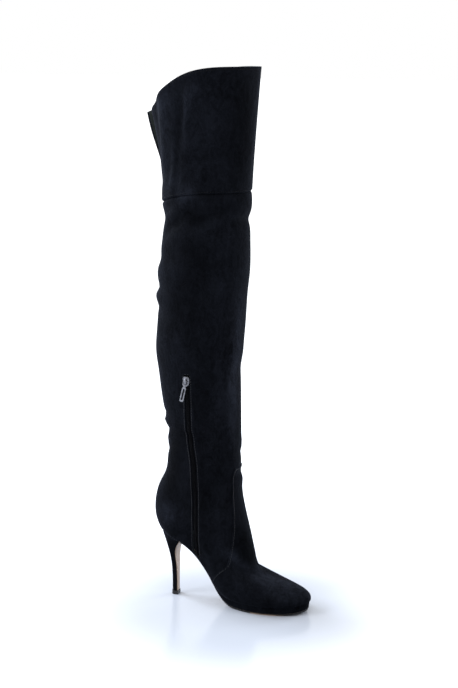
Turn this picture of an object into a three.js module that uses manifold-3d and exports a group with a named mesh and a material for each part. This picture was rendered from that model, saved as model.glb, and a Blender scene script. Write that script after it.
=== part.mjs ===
// A suede over-the-knee boot for the left foot, with a slim covered heel, a low covered platform,
// an inside zip and a band round the thigh that is slit at the back.
// Millimetres. The origin is on the floor under the middle of the heel tip, +X points to the toe,
// +Y to the outer (lateral) side and +Z up, so the inner (medial) side with the zip faces -Y.
import * as THREE from 'three';
import Module from 'manifold-3d';

const wasm = await Module();
wasm.setup();

// Foot: driving sizes
const footLength = 220; // back of the counter to the tip of the toe
const heelTipInset = 30; // counter's back to the middle of the heel tip
const ballWidth = 82; // upper across the ball
const waistWidth = 56; // upper across the arch, low down
const heelWidth = 60; // upper across the counter
const toeSwing = 6; // how far the toe turns to the inner side
const seatHeight = 92; // floor to the upper's edge at the back of the heel
const ankleRise = 133; // upper's edge at the heel to the narrowest ring

// Shaft: driving sizes
const shaftRise = 484.5; // narrowest ring to the front of the top edge
const ankleBreadth = 84;
const calfBreadth = 107;
const topDrop = 60; // front of the top edge down to its back
const bandHeight = 155.5; // thigh band, at the front
const bandDrop = 17; // the same fall, along the band's lower seam
const slitLength = 83;
const slitHalfGap = 5; // half the slit's mouth
const slitFlare = 14.5; // how far the outer flap stands away
const backSeamHalf = 1.5;

// Thicknesses and clearances
const gap = 0.3;
const wall = 1.8;
const bandWall = 1.2;
const bandProud = 0.6; // step of the band over the shaft
const vampWall = 0.9;
const outsoleThickness = 3;
const outsoleInset = 2; // from the upper's edge to the outsole's
const outsoleChamfer = 0.8;
const platformThickness = 10;
const platformInset = 0.3; // at the top
const platformTaper = 1.2; // further in at the bottom
const heelInset = 0.2;
const insoleThickness = 2;
const insoleClearance = 0.5;
const breastWall = 0.9;
const tapeWall = 0.8;

// Heel, zip and trim
const breastSetBack = 12; // heel tip's middle to the top of the breast
const liftHeight = 5;
const liftProud = 0.8;
const zipSlot = 8;
const zipTapeWidth = 24;
const zipChainWidth = 5;
const zipLength = 256; // sole edge to the top of the slot
const tongueHalf = 19; // half the vamp's tongue on the shin
const tongueRise = 173; // vamp's top above the upper's edge at the toe
const pullLength = 28;
const pullLean = 13; // degrees, to the back

const ankleZ = seatHeight + ankleRise;
const footX = (share) => share * footLength - heelTipInset;

// Curves through table rows, with no overshoot between them
function curve(rows, across, up) {
  const x = rows.map((row) => row[across]);
  const y = rows.map((row) => row[up]);
  const slope = x.slice(1).map((next, i) => (y[i + 1] - y[i]) / (next - x[i]));
  const tangent = x.map((_, i) => {
    if (i === 0) return slope[0];
    if (i === x.length - 1) return slope[i - 1];
    const [before, after] = [slope[i - 1], slope[i]];
    return before * after <= 0 ? 0 : (2 * before * after) / (before + after);
  });
  return (at) => {
    const inside = THREE.MathUtils.clamp(at, x[0], x[x.length - 1]);
    let i = 0;
    while (i < x.length - 2 && inside > x[i + 1]) i += 1;
    const span = x[i + 1] - x[i];
    const u = (inside - x[i]) / span;
    const rise = u * u * (3 - 2 * u);
    const leave = u * (1 - u) * (1 - u) * span * tangent[i];
    const arrive = u * u * (u - 1) * span * tangent[i + 1];
    return y[i] * (1 - rise) + y[i + 1] * rise + leave + arrive;
  };
}

// Underside of the sole in the middle of the foot. along: share of footLength. rise: share of seatHeight.
const soleRows = [
  { along: 0.036, rise: 1 },
  { along: 0.1, rise: 0.957 },
  { along: 0.1545, rise: 0.924 },
  { along: 0.191, rise: 0.899 },
  { along: 0.216, rise: 0.876 },
  { along: 0.2445, rise: 0.83 },
  { along: 0.29, rise: 0.717 },
  { along: 0.327, rise: 0.586 },
  { along: 0.376, rise: 0.419 },
  { along: 0.418, rise: 0.24 },
  { along: 0.4455, rise: 0.138 },
  { along: 0.4727, rise: 0.061 },
  { along: 0.4955, rise: 0.021 },
  { along: 0.518, rise: 0.005 },
  { along: 0.5455, rise: 0 },
  { along: 0.82, rise: 0 },
  { along: 0.91, rise: 0.014 },
  { along: 1, rise: 0.042 },
];
const soleRise = curve(soleRows, 'along', 'rise');
const undersideZ = (x) => seatHeight * soleRise((x + heelTipInset) / footLength);

// Where the platform runs out to nothing under the arch, and where it is full, as shares of footLength
const platformEnd = 0.36;
const platformFull = 0.5;
const platformAt = (x) =>
  platformThickness * THREE.MathUtils.smoothstep((x + heelTipInset) / footLength, platformEnd, platformFull);
const featherZ = (x) => undersideZ(x) + outsoleThickness + platformAt(x);

// Rings of the foot from the sole's edge to the ankle. level: where the ring lies, 0 at the sole and 1 at the
// ankle. back and front: its ends, shares of footLength. backRise and frontRise: their heights, shares of
// the way from the sole's edge to the ankle. follow: how much it keeps the arch. legs: how far it has turned
// into the ankle's own oval.
const footRows = [
  { level: 0.0, back: 0.045, backRise: 0.0, front: 1.001, frontRise: 0.0, follow: 1, legs: 0 },
  { level: 0.04, back: 0.028, backRise: 0.04, front: 1.003, frontRise: 0.01, follow: 1, legs: 0 },
  { level: 0.1, back: 0.006, backRise: 0.13, front: 0.999, frontRise: 0.028, follow: 1, legs: 0 },
  { level: 0.16, back: 0.0, backRise: 0.21, front: 0.978, frontRise: 0.048, follow: 1, legs: 0 },
  { level: 0.24, back: 0.001, backRise: 0.29, front: 0.932, frontRise: 0.067, follow: 1, legs: 0.02 },
  { level: 0.32, back: 0.008, backRise: 0.37, front: 0.855, frontRise: 0.086, follow: 0.98, legs: 0.05 },
  { level: 0.41, back: 0.02, backRise: 0.45, front: 0.768, frontRise: 0.109, follow: 0.92, legs: 0.1 },
  { level: 0.5, back: 0.042, backRise: 0.53, front: 0.684, frontRise: 0.132, follow: 0.82, legs: 0.2 },
  { level: 0.58, back: 0.064, backRise: 0.6, front: 0.639, frontRise: 0.25, follow: 0.66, legs: 0.36 },
  { level: 0.66, back: 0.079, backRise: 0.68, front: 0.609, frontRise: 0.385, follow: 0.45, legs: 0.55 },
  { level: 0.75, back: 0.085, backRise: 0.76, front: 0.57, frontRise: 0.53, follow: 0.25, legs: 0.74 },
  { level: 0.84, back: 0.087, backRise: 0.85, front: 0.543, frontRise: 0.68, follow: 0.1, legs: 0.9 },
  { level: 1.0, back: 0.089, backRise: 1.0, front: 0.541, frontRise: 1.0, follow: 0, legs: 1 },
];

// Breadths of the same rings, each a share of the named width of its place
const footBreadthRows = [
  { level: 0.0, tail: 1.5, seat: 1.34, waist: 0.8, ball: 0.975, toe: 1.06, tip: 1.1 },
  { level: 0.04, tail: 1.62, seat: 1.46, waist: 0.92, ball: 1.03, toe: 1.11, tip: 1.15 },
  { level: 0.1, tail: 1.68, seat: 1.54, waist: 1.03, ball: 1.05, toe: 1.12, tip: 1.12 },
  { level: 0.16, tail: 1.7, seat: 1.58, waist: 1.11, ball: 1.03, toe: 1.04, tip: 1.0 },
  { level: 0.24, tail: 1.68, seat: 1.58, waist: 1.17, ball: 0.99, toe: 0.93, tip: 0.86 },
  { level: 0.32, tail: 1.62, seat: 1.55, waist: 1.22, ball: 0.93, toe: 0.82, tip: 0.76 },
  { level: 0.41, tail: 1.56, seat: 1.52, waist: 1.27, ball: 0.85, toe: 0.74, tip: 0.7 },
  { level: 0.5, tail: 1.5, seat: 1.5, waist: 1.32, ball: 0.8, toe: 0.7, tip: 0.68 },
  { level: 0.58, tail: 1.48, seat: 1.48, waist: 1.36, ball: 0.82, toe: 0.74, tip: 0.72 },
  { level: 0.66, tail: 1.44, seat: 1.46, waist: 1.4, ball: 0.87, toe: 0.81, tip: 0.79 },
  { level: 0.75, tail: 1.42, seat: 1.44, waist: 1.44, ball: 0.93, toe: 0.9, tip: 0.88 },
  { level: 0.84, tail: 1.4, seat: 1.42, waist: 1.47, ball: 0.98, toe: 0.97, tip: 0.96 },
  { level: 1.0, tail: 1.4, seat: 1.4, waist: 1.5, ball: 1.02, toe: 1.02, tip: 1.02 },
];

const curvesOf = (rows, across) =>
  Object.fromEntries(Object.keys(rows[0]).map((name) => [name, curve(rows, across, name)]));
const footCurve = { ...curvesOf(footRows, 'level'), ...curvesOf(footBreadthRows, 'level') };

// Where along a ring its breadths are stated, 0 at the back and 1 at the front
const breadthPlaces = [
  { place: 0, name: 'tail', width: heelWidth },
  { place: 0.12, name: 'seat', width: heelWidth },
  { place: 0.34, name: 'waist', width: waistWidth },
  { place: 0.68, name: 'ball', width: ballWidth },
  { place: 0.88, name: 'toe', width: ballWidth },
  { place: 1, name: 'tip', width: ballWidth },
];

// Rings of the shaft. height: share of shaftRise. back and front: the ring's ends, shares of footLength as in
// the foot's table. breadth: share of calfBreadth.
const shaftRows = [
  { height: 0, back: 0.089, front: 0.541, breadth: 0.785 },
  { height: 0.064, back: 0.071, front: 0.539, breadth: 0.81 },
  { height: 0.124, back: 0.047, front: 0.536, breadth: 0.855 },
  { height: 0.209, back: 0.0273, front: 0.531, breadth: 0.945 },
  { height: 0.2415, back: 0.0136, front: 0.541, breadth: 0.98 },
  { height: 0.2786, back: 0.0127, front: 0.55, breadth: 1 },
  { height: 0.33, back: 0.0255, front: 0.559, breadth: 1 },
  { height: 0.394, back: 0.0273, front: 0.565, breadth: 0.99 },
  { height: 0.4417, back: 0.0264, front: 0.571, breadth: 0.98 },
  { height: 0.493, back: 0.029, front: 0.58, breadth: 0.97 },
  { height: 0.5387, back: 0.041, front: 0.582, breadth: 0.96 },
  { height: 0.586, back: 0.0545, front: 0.583, breadth: 0.95 },
  { height: 0.6316, back: 0.067, front: 0.585, breadth: 0.955 },
  { height: 0.675, back: 0.054, front: 0.586, breadth: 0.965 },
  { height: 0.762, back: 0.053, front: 0.595, breadth: 0.985 },
  { height: 0.828, back: 0.046, front: 0.604, breadth: 1.02 },
  { height: 0.91, back: 0.03, front: 0.6165, breadth: 1.065 },
  { height: 1, back: -0.0015, front: 0.631, breadth: 1.12 },
];
const shaftCurve = curvesOf(shaftRows, 'height');

// Soft folds that change the outline: height as a share of shaftRise, side in degrees from the front,
// depth outwards as a share of calfBreadth, spread as a share of shaftRise and wrap in degrees
const foldRows = [
  { name: 'behind the ankle', height: 0.002, side: 180, depth: -0.018, spread: 0.014, wrap: 60 },
  { name: 'back of the knee', height: 0.402, side: 180, depth: 0.024, spread: 0.016, wrap: 50 },
  { name: 'thigh crease', height: 0.603, side: 0, depth: -0.038, spread: 0.016, wrap: 60 },
  { name: 'roll under the band', height: 0.645, side: 0, depth: 0.012, spread: 0.014, wrap: 70 },
];

const bandStart = 1 - bandHeight / shaftRise;
const topFall = 3.4; // how late the top edge falls to the back
const shaftDrop = (height) =>
  height < bandStart
    ? bandDrop * THREE.MathUtils.smoothstep(height, 0, bandStart)
    : bandDrop + (topDrop - bandDrop) * ((height - bandStart) / (1 - bandStart));
const bandBackHeight = bandHeight + bandDrop - topDrop;
const slitStart = 1 - (slitLength / bandBackHeight) * (1 - bandStart);

// A ring of the upper at a level from 0 at the sole over 1 at the ankle to 2 at the top edge
function ringAt(level) {
  if (level >= 1) {
    const height = level - 1;
    const frontZ = ankleZ + height * shaftRise;
    return {
      back: footX(shaftCurve.back(height)),
      front: footX(shaftCurve.front(height)),
      backZ: frontZ - shaftDrop(height),
      frontZ,
      fall: topFall,
      follow: 0,
      swing: 0,
      breadth: () => (shaftCurve.breadth(height) * calfBreadth) / 2,
    };
  }
  const at = Object.fromEntries(Object.entries(footCurve).map(([name, of]) => [name, of(level)]));
  const backEdge = featherZ(footX(footRows[0].back));
  const toeEdge = featherZ(footX(footRows[0].front));
  const places = breadthPlaces.map(({ place, name, width }) => ({
    place,
    half: THREE.MathUtils.lerp((at[name] * width) / 2, ankleBreadth / 2, at.legs),
  }));
  return {
    back: footX(at.back),
    front: footX(at.front),
    backZ: THREE.MathUtils.lerp(backEdge, ankleZ, at.backRise),
    frontZ: THREE.MathUtils.lerp(toeEdge, ankleZ, at.frontRise),
    fall: 1,
    follow: at.follow,
    swing: 1 - at.legs,
    breadth: curve(places, 'place', 'half'),
  };
}

const angleBetween = (a, b) =>
  Math.abs(THREE.MathUtils.euclideanModulo(a - b + Math.PI, 2 * Math.PI) - Math.PI);

// Point of a ring at an angle: 0 at the front, a right angle on the outer side, pi at the back
function ringPoint(ring, level, angle) {
  const along = (1 + Math.cos(angle)) / 2;
  const x = THREE.MathUtils.lerp(ring.back, ring.front, along);
  const straight = ring.frontZ - (ring.frontZ - ring.backZ) * (1 - along) ** ring.fall;
  const arch = featherZ(x) - THREE.MathUtils.lerp(featherZ(ring.back), featherZ(ring.front), along);
  const z = straight + ring.follow * arch;
  const forward = Math.max(0, (x + heelTipInset) / footLength - 0.45) / 0.55;
  const y = Math.sin(angle) * ring.breadth(along) - ring.swing * toeSwing * forward ** 2;
  const point = new THREE.Vector3(x, y, z);
  if (level > 1 + slitStart) {
    const open = (level - 1 - slitStart) / (1 - slitStart);
    const near = Math.max(0, 1 - angleBetween(angle, Math.PI) / 1.1);
    const flare = slitFlare * THREE.MathUtils.smoothstep(open, 0, 0.85);
    point.x -= flare * near * (angle < Math.PI ? 1 : 0.15);
  }
  return point;
}

function foldDepth(level, angle) {
  const height = level - 1;
  return foldRows.reduce((sum, fold) => {
    const rise = (height - fold.height) / fold.spread;
    const away = angleBetween(angle, THREE.MathUtils.degToRad(fold.side));
    const turn = away / THREE.MathUtils.degToRad(fold.wrap);
    return sum + fold.depth * calfBreadth * Math.exp(-rise * rise - turn * turn);
  }, 0);
}

// Outer face of the upper, moved out by offset along its normal
function upperPoint(level, angle, offset = 0) {
  const step = 0.004;
  const low = Math.max(0, level - step);
  const high = Math.min(2, level + step);
  const here = ringAt(level);
  const point = ringPoint(here, level, angle);
  const turn = 0.02;
  const across = ringPoint(here, level, angle + turn).sub(ringPoint(here, level, angle - turn));
  const upwards = ringPoint(ringAt(high), high, angle).sub(ringPoint(ringAt(low), low, angle));
  const normal = across.cross(upwards).normalize();
  return point.addScaledVector(normal, offset + foldDepth(level, angle));
}

const levelsBetween = (from, to, count) =>
  Array.from({ length: count + 1 }, (_, i) => from + ((to - from) * i) / count);

// Angle on the inner side where the ring crosses a given x, counted back from the front
function sideAngle(ring, x) {
  const along = THREE.MathUtils.clamp((x - ring.back) / (ring.front - ring.back), 0.02, 0.98);
  return Math.acos(2 * along - 1);
}

// The zip's line, a share of footLength against the height above the floor as a share of ankleZ
const zipRows = [
  { height: 0.2, along: 0.306 },
  { height: 0.4, along: 0.311 },
  { height: 0.66, along: 0.319 },
  { height: 0.84, along: 0.315 },
  { height: 0.93, along: 0.307 },
  { height: 1, along: 0.293 },
  { height: 1.07, along: 0.281 },
  { height: 1.16, along: 0.277 },
  { height: 1.4, along: 0.279 },
];
const zipAlong = curve(zipRows, 'height', 'along');
const zipFade = 0.2; // level over which the columns leave the zip's line above its top

const sideZ = (ring, x) => {
  const along = (x - ring.back) / (ring.front - ring.back);
  const straight = ring.frontZ - (ring.frontZ - ring.backZ) * (1 - along) ** ring.fall;
  const arch = featherZ(x) - THREE.MathUtils.lerp(featherZ(ring.back), featherZ(ring.front), along);
  return straight + ring.follow * arch;
};
// Where the zip's middle crosses a ring: two rounds settle it, because x follows the height and the height x
function zipX(ring) {
  const start = footX(zipAlong(1));
  const first = footX(zipAlong(sideZ(ring, start) / ankleZ));
  return footX(zipAlong(sideZ(ring, first) / ankleZ));
}

const zipBottomLevel = 0.03;
const zipTopZ = undersideZ(footX(zipAlong(0.2))) + outsoleThickness + zipLength;
const zipTopLevel = 1 + (zipTopZ - ankleZ) / shaftRise;

// Half angle of the vamp against the level: wide at the arch, then the narrow tongue on the shin
const vampRows = [
  { level: 0, half: 1.82 },
  { level: 0.1, half: 1.73 },
  { level: 0.2, half: 1.65 },
  { level: 0.3, half: 1.52 },
  { level: 0.4, half: 1.34 },
  { level: 0.5, half: 1.1 },
  { level: 0.6, half: 0.87 },
  { level: 0.7, half: 0.67 },
  { level: 0.8, half: 0.5 },
  { level: 1, half: 0.46 },
];
const vampHalf = curve(vampRows, 'level', 'half');
const vampTop = levelAtFront(featherZ(footX(footRows[0].front)) + tongueRise);
const vampCorner = 0.05; // level over which the tongue's top corners round off
const vampCornerShare = 0.72; // share of the tongue's half breadth left at its very top

function levelAtFront(z) {
  let [low, high] = [0, 2];
  for (let i = 0; i < 30; i += 1) {
    const middle = (low + high) / 2;
    if (ringAt(middle).frontZ < z) low = middle;
    else high = middle;
  }
  return low;
}

// Columns of the upper's mesh on each side of the front, from the front to the back: over the vamp, on to the
// zip's slot, one across the slot and the rest to the back seam. Both sides have the same columns.
const vampCells = 11;
const vampCrowding = 1.25; // above 1 the vamp's columns crowd towards its seam, over the arch
const quarterCells = 2;
const backCells = 6;
const zipCell = vampCells + quarterCells;
const sideCells = zipCell + 1 + backCells;
const columnCount = 2 * sideCells + 1;
const slitCell = sideCells;

function columnAngles(level) {
  const ring = ringAt(level);
  const fade = THREE.MathUtils.smoothstep(level, zipTopLevel, zipTopLevel + zipFade);
  const side = THREE.MathUtils.lerp(sideAngle(ring, zipX(ring)), Math.PI / 2, fade);
  const zipTurn = zipSlot / 2 / (((ring.front - ring.back) / 2) * Math.sin(side));
  const [zipFront, zipBack] = [side - zipTurn, side + zipTurn];
  const tongue = (vampHalf(level) * tongueHalf) / (ankleBreadth / 2) / vampRows[vampRows.length - 1].half;
  const narrow = THREE.MathUtils.lerp(vampHalf(level), tongue, THREE.MathUtils.smoothstep(level, 0.6, 0.8));
  const corner = Math.min(1, Math.abs(level - vampTop) / vampCorner);
  const rounded = narrow * THREE.MathUtils.lerp(vampCornerShare, 1, Math.sqrt(corner));
  const plain = zipFront * (vampCells / zipCell);
  const leaving = THREE.MathUtils.smoothstep(level, vampTop + vampCorner, 1.3);
  const seam = THREE.MathUtils.lerp(rounded, plain, leaving);
  const open = Math.max(0, (level - 1 - slitStart) / (1 - slitStart));
  const slitTurn = (backSeamHalf + (slitHalfGap - backSeamHalf) * open) / ring.breadth(0.02);
  const spread = (from, to, cells) => levelsBetween(from, to, cells).slice(0, cells);
  const outer = [
    ...spread(0, 1, vampCells).map((share) => seam * (1 - (1 - share) ** vampCrowding)),
    ...spread(seam, zipFront, quarterCells),
    zipFront,
    ...spread(zipBack, Math.PI - slitTurn, backCells),
    Math.PI - slitTurn,
  ];
  const inner = outer.slice(1).reverse().map((angle) => 2 * Math.PI - angle);
  return [...outer, ...inner];
}

// Closed solid between an outer and an inner grid of points, less the cells that are cut away
function shell(outer, inner, wraps, isCut = () => false) {
  const rows = outer.length;
  const columns = outer[0].length;
  const cells = wraps ? columns : columns - 1;
  const position = [];
  const index = [];
  for (const row of [...outer, ...inner]) for (const p of row) position.push(p.x, p.y, p.z);
  const at = (side, i, j) => side * rows * columns + i * columns + (j % columns);
  const quad = (a, b, c, d) => index.push(a, b, c, a, c, d);
  const isSolid = (i, j) => {
    const cell = wraps ? (j + cells) % cells : j;
    return i >= 0 && i < rows - 1 && cell >= 0 && cell < cells && !isCut(i, cell);
  };
  for (let i = 0; i < rows - 1; i += 1) {
    for (let j = 0; j < cells; j += 1) {
      if (!isSolid(i, j)) continue;
      quad(at(0, i, j), at(0, i, j + 1), at(0, i + 1, j + 1), at(0, i + 1, j));
      quad(at(1, i, j), at(1, i + 1, j), at(1, i + 1, j + 1), at(1, i, j + 1));
      if (!isSolid(i - 1, j)) quad(at(0, i, j), at(1, i, j), at(1, i, j + 1), at(0, i, j + 1));
      if (!isSolid(i + 1, j)) {
        quad(at(0, i + 1, j + 1), at(1, i + 1, j + 1), at(1, i + 1, j), at(0, i + 1, j));
      }
      if (!isSolid(i, j - 1)) quad(at(0, i + 1, j), at(1, i + 1, j), at(1, i, j), at(0, i, j));
      if (!isSolid(i, j + 1)) {
        quad(at(0, i, j + 1), at(1, i, j + 1), at(1, i + 1, j + 1), at(0, i + 1, j + 1));
      }
    }
  }
  return meshGeometry(position, index);
}

function meshGeometry(position, index) {
  const geometry = new THREE.BufferGeometry();
  geometry.setAttribute('position', new THREE.Float32BufferAttribute(position, 3));
  geometry.setIndex(index);
  return geometry;
}

// Closed solid through sections of equal count, each listed round its outline. Its two ends are closed by
// strips between the k-th point and the k-th from the end.
function loft(sections) {
  const count = sections[0].length;
  const position = sections.flatMap((section) => section.flatMap((p) => [p.x, p.y, p.z]));
  const index = [];
  const quad = (a, b, c, d) => index.push(a, b, c, a, c, d);
  for (let i = 0; i < sections.length - 1; i += 1) {
    for (let k = 0; k < count; k += 1) {
      const next = (k + 1) % count;
      quad(i * count + k, i * count + next, (i + 1) * count + next, (i + 1) * count + k);
    }
  }
  const last = (sections.length - 1) * count;
  for (let k = 0; k < count / 2 - 1; k += 1) {
    const [near, far] = [k, count - 1 - k];
    quad(near, far, far - 1, near + 1);
    quad(last + near, last + near + 1, last + far - 1, last + far);
  }
  return facingOut(meshGeometry(position, index));
}

function asManifold(geometry) {
  const vertProperties = geometry.getAttribute('position').array;
  const triVerts = new Uint32Array(geometry.getIndex().array);
  return new wasm.Manifold(new wasm.Mesh({ numProp: 3, vertProperties, triVerts }));
}

function fromManifold(solid) {
  const mesh = solid.getMesh();
  return meshGeometry(mesh.vertProperties, [...mesh.triVerts]);
}

// Turns the faces round if the sections were listed the other way
function facingOut(geometry) {
  if (asManifold(geometry).volume() >= 0) return geometry;
  const index = geometry.getIndex().array;
  const turned = [];
  for (let i = 0; i < index.length; i += 3) turned.push(index[i], index[i + 2], index[i + 1]);
  geometry.setIndex(turned);
  return geometry;
}

// Rows of the upper's mesh. The zip, the vamp, the band and the slit all start and stop on rows.
const footLevels = [
  ...[0, zipBottomLevel, 0.065, 0.1, 0.15, 0.2, 0.26, 0.33, 0.4, 0.46, 0.51, 0.56, 0.61, 0.67, 0.74, 0.82],
  ...[vampTop - vampCorner, vampTop - vampCorner / 4, vampTop],
];
const seamStep = 0.004; // level between the two rings that make the step at the band
const shaftLevels = [
  ...levelsBetween(1, zipTopLevel, 4),
  ...[1.24, 1.28, 1.335, 1.385, 1.403, 1.425, 1.47, 1.52, 1.56, 1.587, 1.603, 1.62, 1.645],
  1 + bandStart - seamStep,
  ...levelsBetween(1 + bandStart, 1 + slitStart, 2),
  ...levelsBetween(1 + slitStart, 2, 4).slice(1),
];
const upperLevels = [...footLevels, ...shaftLevels];
const liningDepth = bandWall - bandProud + gap;

function upper() {
  const grid = (deeper) =>
    upperLevels.map((level) => {
      const under = level >= 1 + bandStart ? liningDepth : 0;
      return columnAngles(level).map((angle) => upperPoint(level, angle, -under - deeper));
    });
  const medialZip = columnCount - 1 - zipCell;
  const inZip = (i, j) => j === medialZip && upperLevels[i] >= zipBottomLevel && upperLevels[i] < zipTopLevel;
  const inSlit = (i, j) => j === slitCell && upperLevels[i] >= 1 + slitStart;
  return shell(grid(0), grid(wall), true, (i, j) => inZip(i, j) || inSlit(i, j));
}

function thighBand() {
  const levels = upperLevels.filter((level) => level >= 1 + bandStart);
  const grid = (offset) =>
    levels.map((level) => columnAngles(level).map((angle) => upperPoint(level, angle, offset)));
  const inSlit = (i, j) => j === slitCell && levels[i] >= 1 + slitStart;
  return shell(grid(bandProud), grid(bandProud - bandWall), true, inSlit);
}

// Vamp: the same rows and columns as the upper under it, so the two lie parallel
function vamp() {
  const levels = upperLevels.filter((level) => level <= vampTop);
  const grid = (offset) =>
    levels.map((level) => {
      const angles = columnAngles(level).slice(0, vampCells + 1);
      const across = [...angles.slice(1).reverse().map((angle) => -angle), ...angles];
      return across.map((angle) => upperPoint(level, angle, offset));
    });
  return shell(grid(gap + vampWall), grid(gap), false);
}

// A point of the sole's outline at an angle, moved in by inset, at a height that depends on x
function outlinePoint(angle, inset, height) {
  const ring = ringAt(0);
  const at = (turn) => ringPoint(ring, 0, turn).setZ(0);
  const tangent = at(angle + 0.01).sub(at(angle - 0.01)).normalize();
  const point = at(angle).add(new THREE.Vector3(-tangent.y, tangent.x, 0).multiplyScalar(inset));
  return point.setZ(height(point.x));
}

// Angle of the sole's outline where it reaches a given x
const outlineAngle = (x) => sideAngle(ringAt(0), x);
const edgeAngles = columnAngles(0).slice(0, sideCells + 1);
const edgeXs = edgeAngles.map((angle) => ringPoint(ringAt(0), 0, angle).x).reverse();

// The upper's edge runs straight from column to column, and a height that lies on it or parallel to it does
// the same
function faceted(height) {
  return (x) => {
    const next = THREE.MathUtils.clamp(edgeXs.findIndex((at) => at > x), 1, edgeXs.length - 1);
    const beyond = x > edgeXs[edgeXs.length - 1];
    const [low, high] = beyond ? edgeXs.slice(-2) : [edgeXs[next - 1], edgeXs[next]];
    return THREE.MathUtils.mapLinear(x, low, high, height(low), height(high));
  };
}
const edgeZ = faceted(featherZ);
const outsoleZ = faceted((x) => undersideZ(x) + outsoleThickness);

// Plate of the sole's outline between two heights that follow the arch. Its sections lie at the upper's own
// columns, so their edges run parallel.
function solePlate({ angles, topInset, bottomInset, top, bottom }) {
  return loft(
    angles.map((angle) => [
      outlinePoint(angle, topInset, top),
      outlinePoint(angle, bottomInset, bottom),
      outlinePoint(-angle, bottomInset, bottom),
      outlinePoint(-angle, topInset, top),
    ]),
  );
}

const breastX = breastSetBack;
const endTurn = 0.05; // angle at which the plates end, next to the tip and the very back
const outsoleStart = outlineAngle(breastX + gap + breastWall + gap);
const toeAngles = [endTurn, ...edgeAngles.slice(1, -1)];

const outsole = () =>
  solePlate({
    angles: [...toeAngles.filter((angle) => angle < outsoleStart - 0.02), outsoleStart],
    topInset: outsoleInset,
    bottomInset: outsoleInset + outsoleChamfer,
    top: (x) => outsoleZ(x) - gap,
    bottom: faceted(undersideZ),
  });

const platform = () =>
  solePlate({
    angles: toeAngles.filter((angle) => angle < outlineAngle(footX(platformEnd + 0.02))),
    topInset: platformInset,
    bottomInset: platformInset + platformTaper,
    top: (x) => edgeZ(x) - gap,
    bottom: outsoleZ,
  });

const insole = () =>
  solePlate({
    angles: [...toeAngles, Math.PI - endTurn],
    topInset: wall + insoleClearance,
    bottomInset: wall + insoleClearance,
    top: (x) => edgeZ(x) + insoleThickness,
    bottom: edgeZ,
  });

// Rings of the heel from the tip up. rise: share of the height under the breast. back and breast: where the
// ring ends, shares of footLength from the heel tip's middle. half: half its breadth as a share of heelWidth.
// seat: how far it has turned into the outline of the heel seat.
const heelRows = [
  { rise: 0, back: -0.0242, breast: 0.009, half: 0.08, seat: 0 },
  { rise: 0.22, back: -0.0242, breast: 0.009, half: 0.08, seat: 0 },
  { rise: 0.34, back: -0.026, breast: 0.0085, half: 0.092, seat: 0 },
  { rise: 0.445, back: -0.0275, breast: 0.0075, half: 0.113, seat: 0 },
  { rise: 0.54, back: -0.0305, breast: 0.0055, half: 0.14, seat: 0 },
  { rise: 0.64, back: -0.0355, breast: 0.0025, half: 0.172, seat: 0.01 },
  { rise: 0.72, back: -0.0425, breast: 0.001, half: 0.2, seat: 0.03 },
  { rise: 0.8, back: -0.0515, breast: 0.006, half: 0.225, seat: 0.08 },
  { rise: 0.88, back: -0.063, breast: 0.02, half: 0.25, seat: 0.22 },
  { rise: 0.95, back: -0.075, breast: 0.036, half: 0.28, seat: 0.5 },
  { rise: 1, back: -0.085, breast: 0.05, half: 0.33, seat: 1 },
];
const heelCurve = curvesOf(heelRows, 'rise');

// Ring of the heel: its outline from the outer corner of the breast round the back to the inner corner
const seatAngle = outlineAngle(breastX);
const seatAngles = [seatAngle, ...edgeAngles.filter((angle) => angle > seatAngle + 0.05)];
const heelTurns = [...seatAngles, ...[...seatAngles].reverse().map((angle) => 2 * Math.PI - angle)];

function heelRing(rise) {
  const seat = heelCurve.seat(rise);
  const back = heelCurve.back(rise) * footLength;
  const breast = THREE.MathUtils.lerp(heelCurve.breast(rise) * footLength, breastX, seat);
  const half = heelCurve.half(rise) * heelWidth;
  const height = THREE.MathUtils.lerp(liftHeight + gap, featherZ(breastX) - gap, rise);
  return heelTurns.map((angle) => {
    const turn = (angle - Math.PI) / (Math.PI - seatAngle);
    const around = turn * (Math.PI / 2 + 0.35);
    const round = (back + breast) / 2 - ((breast - back) / 2) * Math.cos(around);
    const x = Math.abs(turn) > 0.98 ? breast : round;
    const y = -half * Math.sin(THREE.MathUtils.clamp(around, -Math.PI / 2, Math.PI / 2));
    const onSeat = outlinePoint(angle, heelInset, (at) => edgeZ(at) - gap);
    return new THREE.Vector3(x, y, height).lerp(onSeat, seat);
  });
}

const heelLevels = [0, 0.15, 0.3, 0.45, 0.56, 0.66, 0.74, 0.81, 0.87, 0.92, 0.96, 1];
const heel = () => loft(heelLevels.map(heelRing));

// Leather strip on the flat front of the heel
function heelBreast() {
  const edge = 0.88; // share of the breast's width that the strip covers
  const levels = heelLevels.filter((rise) => rise < 0.97);
  const face = levels.map((rise) => {
    const ring = heelRing(rise);
    return { outer: ring[0], inner: ring[ring.length - 1] };
  });
  const sections = face.map(({ outer, inner }, i) => {
    const below = face[Math.max(0, i - 1)];
    const above = face[Math.min(face.length - 1, i + 1)];
    const up = above.outer.clone().sub(below.outer).setY(0).normalize();
    const out = new THREE.Vector3(up.z, 0, -up.x);
    const middle = outer.clone().lerp(inner, 0.5);
    const reach = (end, distance) => middle.clone().lerp(end, edge).addScaledVector(out, distance);
    const [near, far] = [gap, gap + breastWall];
    return [reach(outer, far), reach(outer, near), reach(inner, near), reach(inner, far)];
  });
  return loft(sections);
}

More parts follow.
